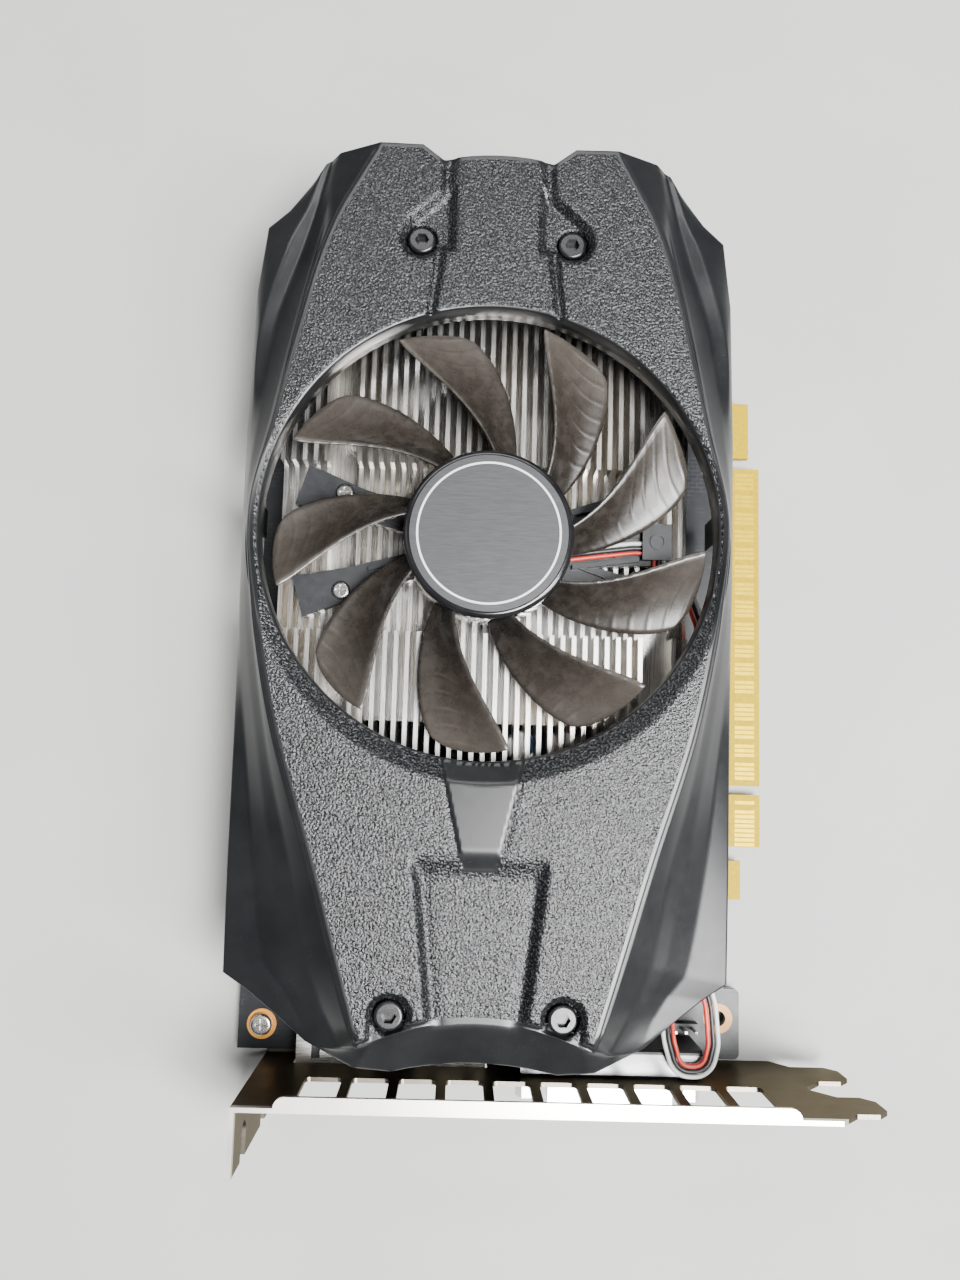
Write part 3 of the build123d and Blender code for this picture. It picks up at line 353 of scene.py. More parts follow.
def bracket_metal():
    """Nickel-plated sheet with handling marks and a brownish bloom, and a painted highlight on the folded
    lip.
    """
    s = Shader("bracket_metal", (0.6, 0.57, 0.52), 0.3, metal=1.0)
    s.bsdf.inputs["Specular Tint"].default_value = (0.4, 0.385, 0.34, 1)
    bloom = s.noise(16.0, 4.0, rough=0.6)
    lines = s.noise(0.2, 3.0, s.stretched((0.03, 1.0, 1.0)))
    sheet = s.mix(0.2, s.ramp(bloom, (0.3, (0.1, 0.083, 0.06)), (0.7, (0.19, 0.166, 0.13))),
                  s.ramp(lines, (0.3, 0.1), (0.7, 0.26)))
    # Painted highlight: above the lip's height the same sheet is painted far paler, as the lip faces up into
    # the light.
    lip_painted_highlight = s.math("GREATER_THAN", s.axis_value("Z"), LIP_Z * MM)
    s.color(s.mix(lip_painted_highlight, sheet, (0.84, 0.81, 0.74)))
    s.rough(bloom, 0.24, 0.42)
    s.bump(lines, 0.004)
    return s


MATERIALS = {
    "shroud": grained_shroud(),
    "satin": smooth_shroud(),
    "blade": blade_plastic(),
    "hub": hub_gloss(),
    "ring": plain_plastic("hole_ring", (0.6, 0.24, 0.02), 0.42, 0.4, 0.01),
    "board": board_mask(),
    "gold": gold_plate(),
    "label": label_film(),
    "can": can_metal(),
    "fins": fin_metal(),
    "bracket": bracket_metal(),
    "block": socket_block(),
    "frame": plain_plastic("frame_plastic", (0.013, 0.014, 0.016), 0.36),
    "chip": plain_plastic("chip_epoxy", (0.022, 0.022, 0.024), 0.5, 0.15),
    "substrate": plain_plastic("substrate_mask", (0.02, 0.09, 0.045), 0.35),
    "silicon": brushed_metal("silicon", (0.3, 0.31, 0.34), 0.12, "X"),
    "paste": plain_plastic("paste", (0.55, 0.55, 0.55), 0.6, 0.3, 0.05),
    "pad": plain_plastic("pad", (0.38, 0.4, 0.43), 0.75, 0.5, 0.05),
    "ferrite": plain_plastic("ferrite", (0.07, 0.07, 0.072), 0.6, 0.15, 0.03),
    "black": plain_plastic("black_plastic", (0.02, 0.02, 0.021), 0.4),
    "ivory": plain_plastic("ivory_plastic", (0.68, 0.67, 0.62), 0.45),
    "tin": brushed_metal("tin_shell", (0.72, 0.71, 0.69), 0.25, "X"),
    "ceramic": plain_plastic("ceramic", (0.34, 0.26, 0.18), 0.4, 0.2),
    "screw": brushed_metal("screw_nickel", (0.74, 0.72, 0.68), 0.24, "Z"),
    "black_screw": plain_plastic("black_oxide", (0.005, 0.005, 0.006), 0.26, 0.2, 0.006),
    "brass": brushed_metal("turned_brass", (0.75, 0.56, 0.24), 0.26, "Z"),
    "lamination": brushed_metal("lamination", (0.36, 0.36, 0.38), 0.35, "X"),
    "copper": brushed_metal("wound_copper", (0.66, 0.3, 0.12), 0.3, "X", 0.35, 0.12),
    "wire_red": plain_plastic("wire_red", (0.5, 0.035, 0.02), 0.4),
    "wire_black": plain_plastic("wire_black", (0.015, 0.015, 0.016), 0.4),
    "wire_white": plain_plastic("wire_white", (0.6, 0.6, 0.58), 0.4),
}
NODE_MATERIALS = {
    "board": ("circuit_board", "motor_board"),
    "gold": ("edge_contacts_front", "edge_contacts_back"), "ring": ("screw_hole_rings",),
    "substrate": ("processor_substrate",), "silicon": ("processor_die",), "paste": ("thermal_paste",),
    "chip": ("memory_chips", "power_transistors", "controller_chip", "memory_rom_chip"),
    "pad": ("thermal_pads",), "ferrite": ("power_inductors", "magnet_ring"), "can": ("capacitor_cans",),
    "black": ("capacitor_bases", "hdmi_tongue", "displayport_tongue", "heat_sink_washers",
              "spare_header"),
    "ceramic": ("small_board_parts",),
    "block": ("dvi_body",),
    "tin": ("dvi_shell", "dvi_jack_screws", "solder_pins", "hdmi_shell", "displayport_shell",
            "header_pins", "clock_crystal", "rotor_shaft"),
    "ivory": ("dvi_insert", "lead_plug", "lead_header"), "bracket": ("io_bracket",),
    "screw": ("bracket_screw", "heat_sink_screws", "fan_frame_screws"), "fins": ("heat_sink",),
    "frame": ("fan_frame",), "brass": ("bearing_sleeve", "shroud_standoffs"),
    "lamination": ("stator_core", "rotor_yoke"), "copper": ("stator_coils",), "shroud": ("shroud",),
    "black_screw": ("shroud_screws",), "blade": ("fan_rotor",), "label": ("hub_label",),
    "wire_red": ("lead_wire_red",), "wire_black": ("lead_wire_black",), "wire_white": ("lead_wire_white",),
}


def dress(node, key):
    """Give a CAD node its material."""
    mesh = NODES[node].data
    mesh.materials.clear()
    mesh.materials.append(MATERIALS[key].material)


for key, names in NODE_MATERIALS.items():
    for node_name in names:
        dress(node_name, key)


# ---------------------------------------------------------------- mesh helpers
def to_row(u, v, z):
    """A point measured in millimetres from the fan's axis and the board's face, in the row frame."""
    return (AXIS.x + u * MM, AXIS.y + v * MM, (z + CARD_TO_ROW.z) * MM)


def blend_step(x):
    x = min(max(x, 0.0), 1.0)
    return x * x * (3 - 2 * x)


def add_mesh(name, points, faces, keys, face_keys=None):
    """An object with smooth faces; keys are its materials and face_keys picks one for each face."""
    mesh = bpy.data.meshes.new(name)
    mesh.from_pydata(points, [], faces)
    for key in keys:
        mesh.materials.append(MATERIALS[key].material)
    if face_keys:
        mesh.polygons.foreach_set("material_index", face_keys)
    mesh.polygons.foreach_set("use_smooth", [True] * len(mesh.polygons))
    mesh.update()
    piece = bpy.data.objects.new(name, mesh)
    bpy.context.scene.collection.objects.link(piece)
    return piece


def ring_strip(count, rows):
    """Quads between closed rows of points that lie one after another, each row with count points."""
    faces = []
    for row in range(rows - 1):
        for i in range(count):
            j = (i + 1) % count
            a, b = row * count, (row + 1) * count
            faces.append((a + i, a + j, b + j, b + i))
    return faces


# ---------------------------------------------------------------- shroud
# Cuts across the side of the shroud, from the horn at the top down to the chin: the crease of the
# plate, two ridges with a groove between them, and the rim. Millimetres from the fan's axis.
SIDE_STATIONS = (
    ((23.9, 78.3), (24.0, 78.7, 31.8), (24.1, 78.9, 31.0), (24.1, 79.0, 30.2), (24.1, 79.1, 29.2)),
    ((23.95, 78.2), (32.4, 77.5, 29.9), (32.6, 77.7, 29.2), (32.7, 77.8, 28.7), (32.8, 77.85, 28.2)),
    ((24.1, 77.9), (32.6, 77.2, 29.8), (34.0, 76.6, 28.6), (34.1, 76.75, 28.2), (34.2, 76.8, 27.9)),
    ((24.4, 77.3), (32.7, 76.8, 29.8), (34.2, 76.0, 28.6), (35.2, 75.6, 29.0), (35.4, 75.6, 28.5)),
    ((24.9, 76.4), (32.9, 76.0, 29.9), (34.6, 75.2, 28.6), (36.0, 74.2, 29.0), (37.4, 72.2, 28.2)),
    ((30.7, 65.6), (33.8, 69.4, 30.5), (36.2, 67.9, 28.9), (38.2, 66.4, 29.3), (42.4, 66.0, 27.6)),
    ((34.7, 55.0), (35.4, 59.4, 30.6), (39.0, 58.2, 28.6), (42.2, 57.0, 29.2), (46.7, 62.6, 26.8)),
    ((38.2, 41.0), (38.8, 43.0, 31.2), (43.6, 42.0, 28.0), (47.2, 41.0, 27.4), (48.4, 49.4, 25.8)),
    ((42.6, 21.0), (43.2, 21.0, 31.0), (46.6, 21.0, 28.2), (48.0, 21.0, 26.6), (49.2, 21.0, 24.6)),
    ((46.2, 2.8), (46.8, 2.8, 31.4), (47.6, 2.8, 29.6), (48.4, 2.8, 27.2), (49.2, 2.8, 24.2)),
    ((44.3, -15.8), (45.2, -17.0, 31.0), (46.6, -18.4, 28.8), (48.3, -20.0, 25.8), (48.9, -20.0, 24.0)),
    ((39.8, -38.0), (41.2, -42.0, 30.0), (43.4, -42.0, 28.0), (46.2, -42.0, 24.8), (48.8, -43.0, 23.4)),
    ((32.2, -62.0), (35.6, -66.0, 29.4), (39.0, -66.0, 27.4), (43.5, -66.0, 24.4), (48.8, -66.0, 22.8)),
    ((27.4, -78.0), (32.6, -82.0, 28.6), (35.6, -82.6, 27.0), (40.2, -84.0, 24.2), (48.6, -86.0, 22.2)),
    ((25.6, -84.0), (30.4, -87.0, 28.4), (33.0, -87.6, 26.9), (36.6, -88.0, 24.6), (43.6, -89.0, 23.0)),
    ((23.9, -89.5), (28.6, -91.0, 28.4), (30.8, -91.6, 27.0), (33.9, -92.2, 25.2), (39.0, -92.2, 24.0)),
    ((22.6, -93.8), (26.6, -94.6, 28.6), (29.2, -95.2, 27.2), (32.2, -96.0, 25.8), (35.4, -94.8, 24.8)),
    ((21.7, -97.0), (24.8, -98.0, 29.0), (26.6, -98.2, 28.0), (28.4, -98.2, 27.0), (32.0, -97.4, 25.6)),
)
PLATE_Z = 33.0
RIM_R = 44.5
EDGE_R = 45.0
FAN_TURNS = 480
WALL = 1.9
SCREWS_TOP = ((15.1, 58.8), (-15.1, 58.8))
SCREWS_LOW = ((16.0, -91.3), (-16.0, -91.3))
CHIN_TOP = 31.6


def chin_line(u):
    """The arc where the plate ends above the chin."""
    return -92.0 - 5.0 * (u / 21.7) ** 2


def station_keys():
    """Right half of the shroud from the middle of the top edge to the middle of the chin.
    Each key holds five points and how much of the side's ledge it has."""
    keys = []
    for i in range(5):
        t = i / 4
        v = 76.4 - 1.3 * t ** 2
        keys.append(([(11.3 * t, v + dv, z) for dv, z in
                      ((0, 32.6), (0.5, 31.6), (0.8, 30.6), (1.1, 29.8), (1.4, 29.0))], 0.0))
    keys.append(([(15.4 - 0.1 * k, 78.2 + 0.25 * k, z) for k, z in
                  enumerate((32.6, 31.6, 30.6, 29.8, 29.0))], 0.0))
    for i, station in enumerate(SIDE_STATIONS):
        share = 0.3 if i < 4 else blend_step((len(SIDE_STATIONS) - 1 - i) / 1.5)
        lift = 32.6 if i < len(SIDE_STATIONS) - 1 else CHIN_TOP
        keys.append(([(*station[0], lift), *station[1:]], share))
    for i in range(6, -1, -1):
        t = i / 7
        inner = (21.7 * t, chin_line(21.7 * t))
        reach = t * 1.17
        outer = (22.5, -101.6) if t > 0.84 else (18.5 * reach, -100.3 - 2.6 * reach ** 2)
        line = []
        for k in (0, 0.25, 0.5, 0.75, 1):
            line.append((inner[0] + (outer[0] - inner[0]) * k, inner[1] + (outer[1] - inner[1]) * k,
                         CHIN_TOP - (CHIN_TOP - 27.6) * k))
        keys.append((line, 0.0))
    return keys


KEYS = station_keys()
FIRST_SIDE, LAST_SIDE = 10, 23


def smooth_between(points, f):
    """Between the middle two of four points, on a curve that passes through them."""
    p0, p1, p2, p3 = points
    out = []
    for a, b, c, d in zip(p0, p1, p2, p3):
        square = 2 * a - 5 * b + 4 * c - d
        cube = 3 * b - a - 3 * c + d
        out.append(0.5 * (2 * b + (c - a) * f + square * f * f + cube * f ** 3))
    return tuple(out)


def cut_at(t):
    """The five points and the ledge share at station number t."""
    i = min(int(t), len(KEYS) - 2)
    f = t - i
    line = []
    for level in range(5):
        a, b = KEYS[i][0][level], KEYS[i + 1][0][level]
        if FIRST_SIDE < i < LAST_SIDE - 4 and level < 4:
            before, after = KEYS[i - 1][0][level], KEYS[i + 2][0][level]
            line.append(smooth_between((before, a, b, after), f))
        else:
            line.append(tuple(x + (y - x) * f for x, y in zip(a, b)))
    return line, KEYS[i][1] + (KEYS[i + 1][1] - KEYS[i][1]) * f


def foot_height(u, v):
    """Where the wall ends: at the foot, or at the top of a vent or of the gap over the sockets."""
    if v < -82:
        return 21.5
    if abs(u) > 44 and any(-70 + 26 * i < v < -50 + 26 * i for i in range(5)):
        return 17.5
    if v > 66 and any(-32 + 17 * i < u < -19 + 17 * i for i in range(4)):
        return 20.5
    return 8.0


def cut_places():
    """Station numbers about a millimetre apart, with a close pair at both ends of every vent."""
    places = []
    for i in range(len(KEYS) - 1):
        long = max(math.dist(KEYS[i][0][level], KEYS[i + 1][0][level]) for level in range(5))
        steps = max(1, math.ceil(long / 1.1))
        places += [i + k / steps for k in range(steps)]
    places.append(len(KEYS) - 1.0)
    full = [places[0]]
    for start, end in zip(places, places[1:]):
        for sign in (1, -1):
            low, high = start, end
            first = foot_height(sign * cut_at(low)[0][4][0], cut_at(low)[0][4][1])
            if first == foot_height(sign * cut_at(high)[0][4][0], cut_at(high)[0][4][1]):
                continue
            for _ in range(6):
                mid = (low + high) / 2
                same = first == foot_height(sign * cut_at(mid)[0][4][0], cut_at(mid)[0][4][1])
                low, high = (mid, high) if same else (low, mid)
            full += [low, high]
        full.append(end)
    return sorted(set(full))


def rounded(corners):
    """A line of points with each inner corner, given with its rounding, replaced by four points."""
    out = [corners[0][0]]
    for (before, _), (corner, size), (after, _) in zip(corners, corners[1:], corners[2:]):
        to_before = [a - b for a, b in zip(before, corner)]
        to_after = [a - b for a, b in zip(after, corner)]
        near, far = math.hypot(*to_before) or 1e-6, math.hypot(*to_after) or 1e-6
        a = min(size, 0.45 * near) / near
        b = min(size, 0.45 * far) / far
        for f in (0.0, 0.33, 0.67, 1.0):
            out.append(tuple(c + (1 - f) ** 2 * a * p + f * f * b * q
                             for c, p, q in zip(corner, to_before, to_after)))
    out.append(corners[-1][0])
    return out


def groove_depth(u, v):
    """The two grooves that run from the top edge down to the fan, steep on their outer side."""
    if v < 40:
        return 0.0
    down = min(max((76 - v) / 32, 0.0), 1.0)
    inner = 7.9 + 3.5 * down ** 1.3
    outer = 11.5 + 2.2 * down ** 1.6
    t = (abs(u) - inner) / (outer - inner)
    if not 0 < t < 1:
        return 0.0
    return 1.2 * min(blend_step(t / 0.6), blend_step((1 - t) / 0.28))


def top_recess_depth(u, v):
    """Round the two upper screws: a round seat with a tail that runs up into the groove."""
    u = abs(u) - 15.1
    v -= 58.8
    seat = 5.0 - math.hypot(u, v)
    tail = min(u + 7.4, (5.0 - v) * 0.76 - u * 0.72 + 1.6, v + 3.4, 3.0 - u)
    if max(seat, tail) < -2:
        return 0.0
    inside = math.log(math.exp(1.5 * seat) + math.exp(1.5 * min(tail, 3.0))) / 1.5 - 0.25
    return 1.8 * blend_step(inside / 2.1)


def low_recess_depth(u, v):
    """Round the two lower screws: a horseshoe that widens down to the chin."""
    u = abs(u) - 16.0
    v += 91.3
    seat = 4.5 - math.hypot(u, v) if v >= 0 else min(4.3 + u - 0.35 * v, 4.3 - u)
    return 1.45 * blend_step(seat / 1.1)


def panel_depth(u, v):
    """The sunken panel: a long slope at its top and a channel down each side."""
    half = 13.2 - 3.4 * (-63 - v) / 29
    side = half - abs(u)
    top = (-61.2 - v) * 0.36
    near = -1.0
    if side > -6 and top > -6:
        near = -math.log(math.exp(-2.2 * side) + math.exp(-2.2 * min(top, 9))) / 2.2
    floor = 1.75 * blend_step(near / 2.1)
    channel = 0.22 * blend_step(side / 1.1) * blend_step((4.2 - side) / 2.6) if side > 0 else 0.0
    return floor + channel * blend_step(top / 1.2)


def tongue_half(v):
    """Half the width of the tongue below the fan."""
    return 7.9 - 4.6 * (-44.8 - v) / 20.2


def plate_height(u, v):
    """The top surface: the plate and everything sunk into it or raised on it."""
    fan = math.hypot(u, v + 2.1)
    bevel = 0.56 * max(0.0, 46.6 - fan)
    depth = max(bevel, groove_depth(u, v))
    if v > 48:
        depth = max(depth, top_recess_depth(u, v))
    if v < -54:
        depth = max(depth, panel_depth(u, v))
    if v < -82:
        depth = max(depth, low_recess_depth(u, v))
        over = v - chin_line(u)
        depth = max(depth, (PLATE_Z - CHIN_TOP) * blend_step((1.5 - over) / 0.9))
    if -65.6 < v < -40:
        inside = min(tongue_half(v) - abs(u), v + 65.0)
        slope = 1.7 * blend_step((-60.6 - v) / 5.2)
        if inside > 0:
            depth = max(bevel, slope) - 0.3 * blend_step(inside / 0.35)
        elif inside > -0.5 and v > -61.5:
            depth += 0.22 * blend_step((inside + 0.5) / 0.25)
    for su, sv in (*SCREWS_TOP, *SCREWS_LOW):
        away = math.hypot(u - su, v - sv)
        if away < 3.3:
            depth = max(depth, 1.7 + 2.7 * blend_step((3.2 - away) / 0.22))
    return PLATE_Z - depth


# The edge's direction is taken over this length to both sides, among this many of its places.
EDGE_SPAN = 1.6
EDGE_PLACES = 30


def outward(near):
    """The level direction out of the plate at the middle of a few places along its edge."""
    half = len(near) // 2
    middle = near[half]
    before = next((p for p in near[:half][::-1] if math.dist(p[:2], middle[:2]) > EDGE_SPAN), near[0])
    after = next((p for p in near[half + 1:] if math.dist(p[:2], middle[:2]) > EDGE_SPAN), near[-1])
    run = (after[0] - before[0], after[1] - before[1])
    size = math.hypot(*run)
    return -run[1] / size, run[0] / size


def side_rows():
    """The rows of the shroud's side, from the plate's edge round the creases and down the wall."""
    half = [cut_at(t) for t in cut_places()]
    left = [([(-u, v, z) for u, v, z in line], share) for line, share in reversed(half[1:-1])]
    columns = []
    whole = half + left
    for n, (line, share) in enumerate(whole):
        edge, first = line[0], line[1]
        out = outward([whole[(n + k) % len(whole)][0][0] 
                       for k in range(-EDGE_PLACES, EDGE_PLACES + 1)])
        ledge = min(0.75 * share, 0.45 * math.hypot(first[0] - edge[0], first[1] - edge[1]))

        def beside(distance, z):
            return (edge[0] + out[0] * distance, edge[1] + out[1] * distance, z)

        top = edge[2] + 0.4 if share > 0.02 or edge[1] > 0 else edge[2]
        start = beside(-0.8, 0.0)
        start = (start[0], start[1], plate_height(start[0], start[1]))
        corners = [(start, 0), (beside(0, top), 0.45),
                   (beside(0.02 + 0.1 * share, top - 0.05 - 0.45 * share), 0.12),
                   (beside(0.04 + ledge, top - 0.12 - 0.5 * share), 0.35), (line[1], 0.9), (line[2], 0.8),
                   (line[3], 0.8), (line[4], 0.5)]
        rim = line[4]
        foot = foot_height(rim[0], rim[1])
        corners += [((rim[0], rim[1], rim[2] - 0.6), 0.0), ((rim[0], rim[1], foot), 0.0)]
        points = rounded(corners)
        held = []
        for u, v, z in points:
            if v > 70 or v < -86:
                z = min(z, plate_height(u, v)) if z > 27.5 else z
            held.append((u, v, z))
        columns.append(held)
    return [list(row) for row in zip(*columns)]


def plate_points(outline):
    """Points over the plate: its outline, the fan's edge, the tongue, rings round screws and a fine grid."""
    points = [(u, v) for u, v, z in outline]
    edges = [(i, (i + 1) % len(points)) for i in range(len(points))]
    first = len(points)
    for i in range(FAN_TURNS):
        a = 2 * math.pi * i / FAN_TURNS
        points.append((EDGE_R * math.cos(a), EDGE_R * math.sin(a)))
        edges.append((first + i, first + (i + 1) % FAN_TURNS))
    tongue = [(side * (tongue_half(v) + 0.02), v) for side, order in ((1, 1), (-1, -1))
              for v in [-45.3 - 0.35 * k for k in range(57)][::order]]
    first = len(points)
    points += tongue
    edges += [(first + i, first + i + 1) for i in range(len(tongue) - 1)]
    for su, sv in (*SCREWS_TOP, *SCREWS_LOW):
        for r, count in ((2.9, 64), (2.98, 64), (3.1, 64), (3.22, 64), (3.6, 60), (4.0, 64), (4.4, 70)):
            for k in range(count):
                a = 2 * math.pi * k / count
                place = (su + r * math.cos(a), sv + r * math.sin(a))
                if place[1] - chin_line(place[0]) > 0.9:
                    points.append(place)
    border = np.array([(u, v) for u, v, z in outline])
    us, vs = np.meshgrid(np.arange(-47.0, 47.01, 0.5), np.arange(-97.0, 79.1, 0.5))
    grid = np.column_stack([us.ravel(), vs.ravel()])
    grid = grid[np.hypot(grid[:, 0], grid[:, 1]) > EDGE_R + 0.3]
    grid = grid[inside_outline(grid, border, 0.3)]
    for su, sv in (*SCREWS_TOP, *SCREWS_LOW):
        grid = grid[np.hypot(grid[:, 0] - su, grid[:, 1] - sv) > 2.6]
    return points + [tuple(p) for p in grid.tolist()], edges


def inside_outline(places, border, margin):
    """True for the places that are inside a closed outline and at least margin away from it."""
    inside = np.zeros(len(places), bool)
    near = np.full(len(places), 1e9)
    for a, b in zip(border, np.roll(border, -1, axis=0)):
        crosses = (a[1] > places[:, 1]) != (b[1] > places[:, 1])
        span = b[1] - a[1]
        if abs(span) > 1e-12:
            at = a[0] + (places[:, 1] - a[1]) / span * (b[0] - a[0])
            inside ^= crosses & (places[:, 0] < at)
        run = b - a
        along = np.clip(((places - a) @ run) / max(run @ run, 1e-12), 0, 1)
        near = np.minimum(near, np.hypot(*(places - a - along[:, None] * run).T))
    return inside & (near > margin)


def make_shroud():
    """The plate, the side and the fan's collar as one thick shell, and the bosses under its screws."""
    rows = side_rows()
    outline = rows[0]
    flat, edges = plate_points(outline)
    places, _, triangles, _, _, _ = delaunay_2d_cdt([Vector(p) for p in flat], edges, [], 0, 1e-6)
    places = np.array([tuple(p) for p in places])
    middles = places[np.array(triangles)].mean(axis=1)
    border = np.array([(u, v) for u, v, z in outline])
    kept = inside_outline(middles, border, 0.0) & (np.hypot(middles[:, 0], middles[:, 1]) > EDGE_R - 0.01)
    faces = []
    for (a, b, c), keep in zip(triangles, kept):
        if keep:
            ahead = (places[b] - places[a])[0] * (places[c] - places[a])[1]
            ahead -= (places[b] - places[a])[1] * (places[c] - places[a])[0]
            faces.append((a, b, c) if ahead > 0 else (a, c, b))
    satin = []
    for (u, v), keep in zip(middles, kept):
        if keep:
            satin.append(1 if -65.0 < v < -42 and abs(u) < tongue_half(v) else 0)
    points = [to_row(u, v, plate_height(u, v)) for u, v in places]

    first = len(points)
    count = len(outline)
    for row in rows:
        points += [to_row(*p) for p in row]
    strip = ring_strip(count, len(rows))
    faces += [tuple(first + i for i in face) for face in strip]
    satin += [1] * len(strip)

    first = len(points)
    collar = ((EDGE_R, 0.0, None), (44.78, 0.06, None), (44.6, 0.2, None), (RIM_R, 0.5, None),
              (RIM_R, 0.0, 29.5), (RIM_R, 0.0, 27.0))
    for r, drop, level in collar:
        for i in range(FAN_TURNS):
            a = 2 * math.pi * i / FAN_TURNS
            top = plate_height(EDGE_R * math.cos(a), EDGE_R * math.sin(a))
            points.append(to_row(r * math.cos(a), r * math.sin(a), level or top - drop))
    strip = ring_strip(FAN_TURNS, len(collar))
    faces += [tuple(first + i for i in face) for face in strip]
    satin += [1] * len(strip)

    shroud = add_mesh("shroud_moulding", points, faces, ("shroud", "satin"), satin)
    shape = bmesh.new()
    shape.from_mesh(shroud.data)
    bmesh.ops.remove_doubles(shape, verts=shape.verts, dist=2e-6)
    # The cuts run together at the tip of each horn, so the tips are welded before the wall is made.
    horn_tips = [v for v in shape.verts if 23.0 * MM < abs(v.co.x - AXIS.x) < 24.8 * MM
                 and v.co.y - AXIS.y > 76.3 * MM and v.co.z > (31.5 + CARD_TO_ROW.z) * MM]
    bmesh.ops.remove_doubles(shape, verts=horn_tips, dist=0.05 * MM)
    bmesh.ops.delete(shape, geom=[v for v in shape.verts if not v.link_faces], context="VERTS")
    shape.to_mesh(shroud.data)
    shape.free()
    thick = shroud.modifiers.new("wall", "SOLIDIFY")
    thick.thickness = WALL * MM
    thick.offset = -1
    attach(shroud, "card")
    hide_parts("shroud")

    points, faces = [], []
    for su, sv in (*SCREWS_TOP, *SCREWS_LOW):
        outer = 4.2 if sv > 0 else 3.4
        profile = ((1.7, 28.4), (1.7, 6.4), (1.9, 6.2), (outer - 0.3, 6.2), (outer, 6.5), (outer, 30.2))
        first = len(points)
        for r, z in profile:
            for i in range(40):
                a = 2 * math.pi * i / 40
                points.append(to_row(su + r * math.cos(a), sv + r * math.sin(a), z))
        faces += [tuple(first + i for i in face) for face in ring_strip(40, len(profile))]
    bosses = add_mesh("shroud_bosses", points, faces, ("satin",))
    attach(bosses, "card")
    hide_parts("shroud")


# ---------------------------------------------------------------- fan
BLADES = 9
BLADE_R = 42.9
BLADE_ROOT_R = 15.0
BLADE_IN_HUB = 16.2
RIB_PITCH = 3.1
RIB_HIGH = 0.075
RIB_HALF = 0.26


def blade_place(r, s):
    """A point on the middle of the blade at angle zero, with the thin ribs that cross it."""
    out = min((r - BLADE_ROOT_R) / (BLADE_R - BLADE_ROOT_R), 1.0)
    lead = -35.0 + 31.5 * (1 - (1 - out) ** 1.5)
    trail = -50.0 + 25.5 * out
    turn = math.radians(lead + (trail - lead) * s)
    high = 28.0 + 2.8 * out
    low = 21.2 + 2.3 * out
    z = high + (low - high) * (s + 0.16 * math.sin(math.pi * s))
    across = r + 2.6 * math.sin(math.pi * s) + 1.5 * s
    beside_rib = across % RIB_PITCH - RIB_PITCH / 2
    z += RIB_HIGH * math.exp(-(beside_rib / RIB_HALF) ** 2) * blend_step((out - 0.12) / 0.15)
    r -= out ** 8 * (0.5 * (1 - s) ** 6 + 1.8 * s ** 5)
    return r * math.cos(turn), r * math.sin(turn), z


def make_rotor():
    """The hub, turned from its profile, and the nine blades, thickened and closed along their edges."""
    points, faces, kinds = [], [], []
    profile = ((0.0, 27.9), (14.7, 27.9), (14.7, 20.1), (14.9, 19.9), (16.6, 19.9), (16.9, 20.2),
               (16.9, 24.0), (16.9, 28.2), (16.82, 28.6), (16.62, 28.95), (16.3, 29.2), (15.95, 29.3),
               (15.6, 29.3), (0.0, 29.3))
    turns = 128
    for r, z in profile:
        points += [to_row(max(r, 0.01) * math.cos(2 * math.pi * i / turns),
                          max(r, 0.01) * math.sin(2 * math.pi * i / turns), z) for i in range(turns)]
    faces += ring_strip(turns, len(profile))
    kinds += [1] * len(faces)
    radial, chord = 136, 24
    for blade in range(BLADES):
        spin = 2 * math.pi * blade / BLADES
        radii = [BLADE_IN_HUB + (BLADE_R - BLADE_IN_HUB) * i / (radial - 1) for i in range(radial)]
        grid = np.array([[blade_place(r, k / (chord - 1)) for k in range(chord)] for r in radii])
        along = np.gradient(grid, axis=0)
        across = np.gradient(grid, axis=1)
        normal = np.cross(along, across)
        normal /= np.linalg.norm(normal, axis=2)[:, :, None]
        normal *= np.sign(normal[:, :, 2:3])
        i = np.arange(radial)[:, None]
        k = np.arange(chord)[None, :]
        border = np.minimum(np.minimum(k, chord - 1 - k) * 0.75, (radial - 1 - i) * 0.2)
        half = 0.1 + 0.38 * np.sqrt(np.clip(border / 0.9, 0, 1))
        c, d = math.cos(spin), math.sin(spin)
        for side in (1, -1):
            first = len(points)
            skin = (grid + side * normal * half[:, :, None]).reshape(-1, 3)
            points += [to_row(c * x - d * y, d * x + c * y, z) for x, y, z in skin]
            for a in range(radial - 1):
                for b in range(chord - 1):
                    p = first + a * chord + b
                    quad = (p, p + 1, p + chord + 1, p + chord)
                    faces.append(quad[::-1] if side == 1 else quad)
        lower = len(points) - radial * chord
        upper = lower - radial * chord
        edge = [a * chord for a in range(radial)] + [(radial - 1) * chord + b for b in range(1, chord)]
        edge += [a * chord + chord - 1 for a in range(radial - 2, -1, -1)]
        for p, q in zip(edge, edge[1:]):
            faces.append((upper + q, upper + p, lower + p, lower + q))
        kinds += [0] * (len(faces) - len(kinds))
    rotor = add_mesh("rotor_moulding", points, faces, ("blade", "hub"), kinds)
    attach(rotor, "rotor")
    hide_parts("fan_rotor")


def soften(node, width_mm, angle=35):
    """Round the sharp edges of a CAD node a little."""
    edge = NODES[node].modifiers.new("edges", "BEVEL")
    edge.width = width_mm * MM
    edge.segments = 2
    edge.limit_method = "ANGLE"
    edge.angle_limit = math.radians(angle)
    edge.harden_normals = False


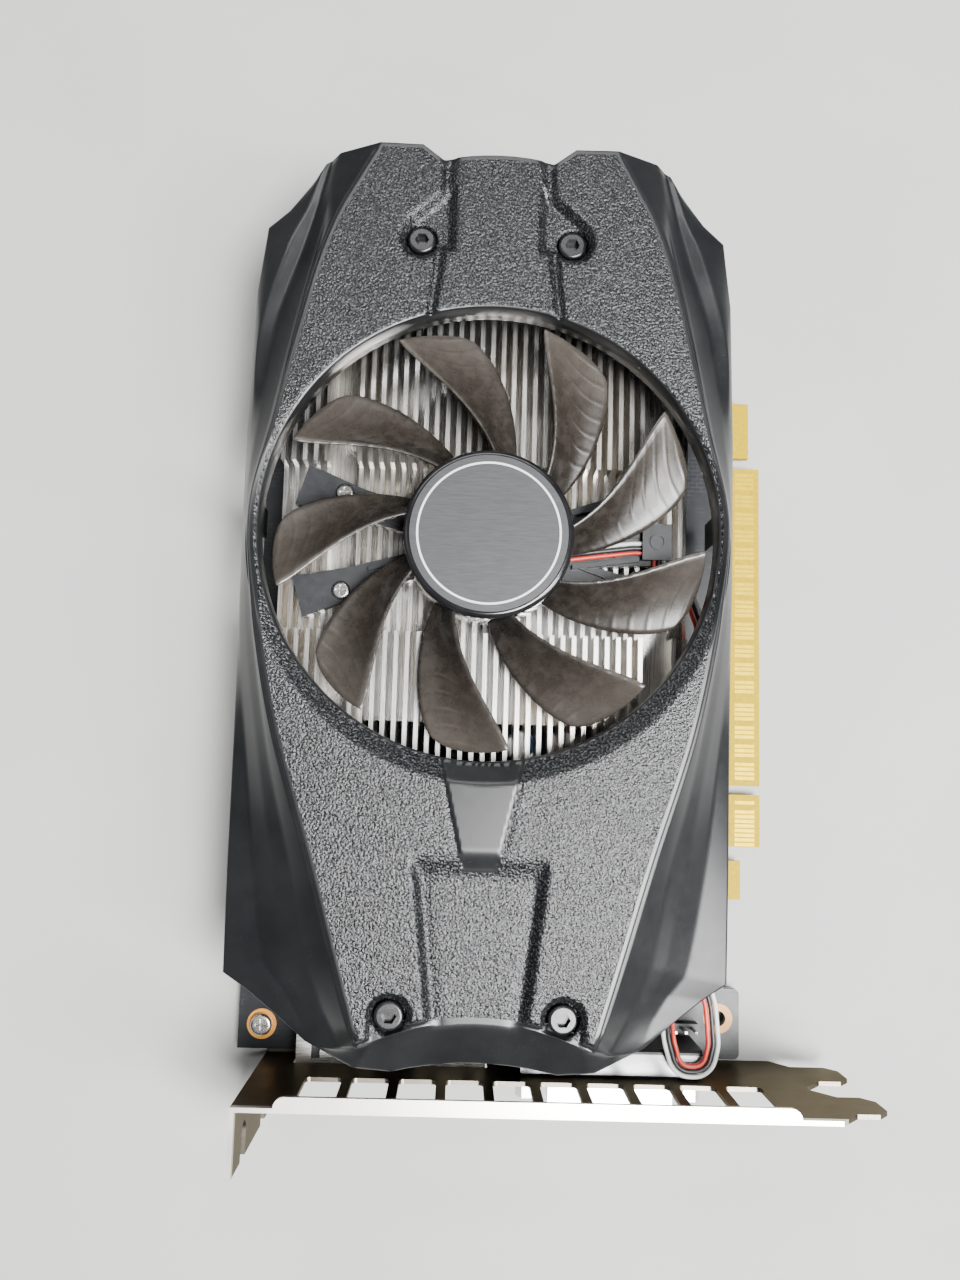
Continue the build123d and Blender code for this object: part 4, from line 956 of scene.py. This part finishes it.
make_shroud()
make_rotor()
for node_name, width in (("io_bracket", 0.16), ("fan_frame", 0.25), ("capacitor_cans", 0.15),
                         ("lead_plug", 0.2), ("dvi_body", 0.2), ("spare_header", 0.12),
                         ("circuit_board", 0.12), ("lead_header", 0.12)):
    soften(node_name, width)


# ---------------------------------------------------------------- camera, floor and lights
def add_camera():
    """Above the card and a little towards the bracket, looking down on the fan."""
    data = bpy.data.cameras.new("camera")
    data.lens = 29.7
    data.sensor_width = 36.0
    camera = bpy.data.objects.new("camera", data)
    camera.location = Vector((-66.24, 3.55, 231.83)) * MM + CARD_TO_ROW * MM
    camera.rotation_euler = Euler([math.radians(a) for a in (6.80, -1.205, 1.628)], "XYZ")
    data.clip_start = 0.01
    bpy.context.scene.collection.objects.link(camera)
    bpy.context.scene.camera = camera


def add_floor():
    bpy.ops.mesh.primitive_plane_add(size=6.0)
    floor = bpy.context.object
    floor.name = "floor"
    s = Shader("floor_paint", (0.42, 0.42, 0.41), 0.75)
    s.color(s.ramp(s.noise(60.0, 3.0), (0.3, (0.4, 0.4, 0.39)), (0.7, (0.44, 0.44, 0.43))))
    floor.data.materials.append(s.material)


def add_light(name, place, size, power):
    """A rectangular light that faces the card."""
    data = bpy.data.lights.new(name, "AREA")
    data.shape = "RECTANGLE"
    data.size, data.size_y = size
    data.energy = power
    light = bpy.data.objects.new(name, data)
    light.location = place
    light.rotation_euler = (-Vector(place)).to_track_quat("-Z", "Y").to_euler()
    bpy.context.scene.collection.objects.link(light)


def add_world():
    world = bpy.data.worlds.new("studio")
    world.use_nodes = True
    world.node_tree.nodes["Background"].inputs["Color"].default_value = (0.9, 0.95, 1.0, 1)
    world.node_tree.nodes["Background"].inputs["Strength"].default_value = 0.06
    bpy.context.scene.world = world


add_camera()
add_floor()
add_world()
add_light("key", (0.3, -0.22, 1.0), (0.5, 0.38), 40)
add_light("side", (0.78, -0.36, 0.8), (0.3, 0.5), 15)
add_light("strip", (-0.1, 0.62, 0.9), (0.9, 0.16), 5)
add_light("fill", (-0.8, 0.2, 0.7), (0.3, 0.7), 0.8)
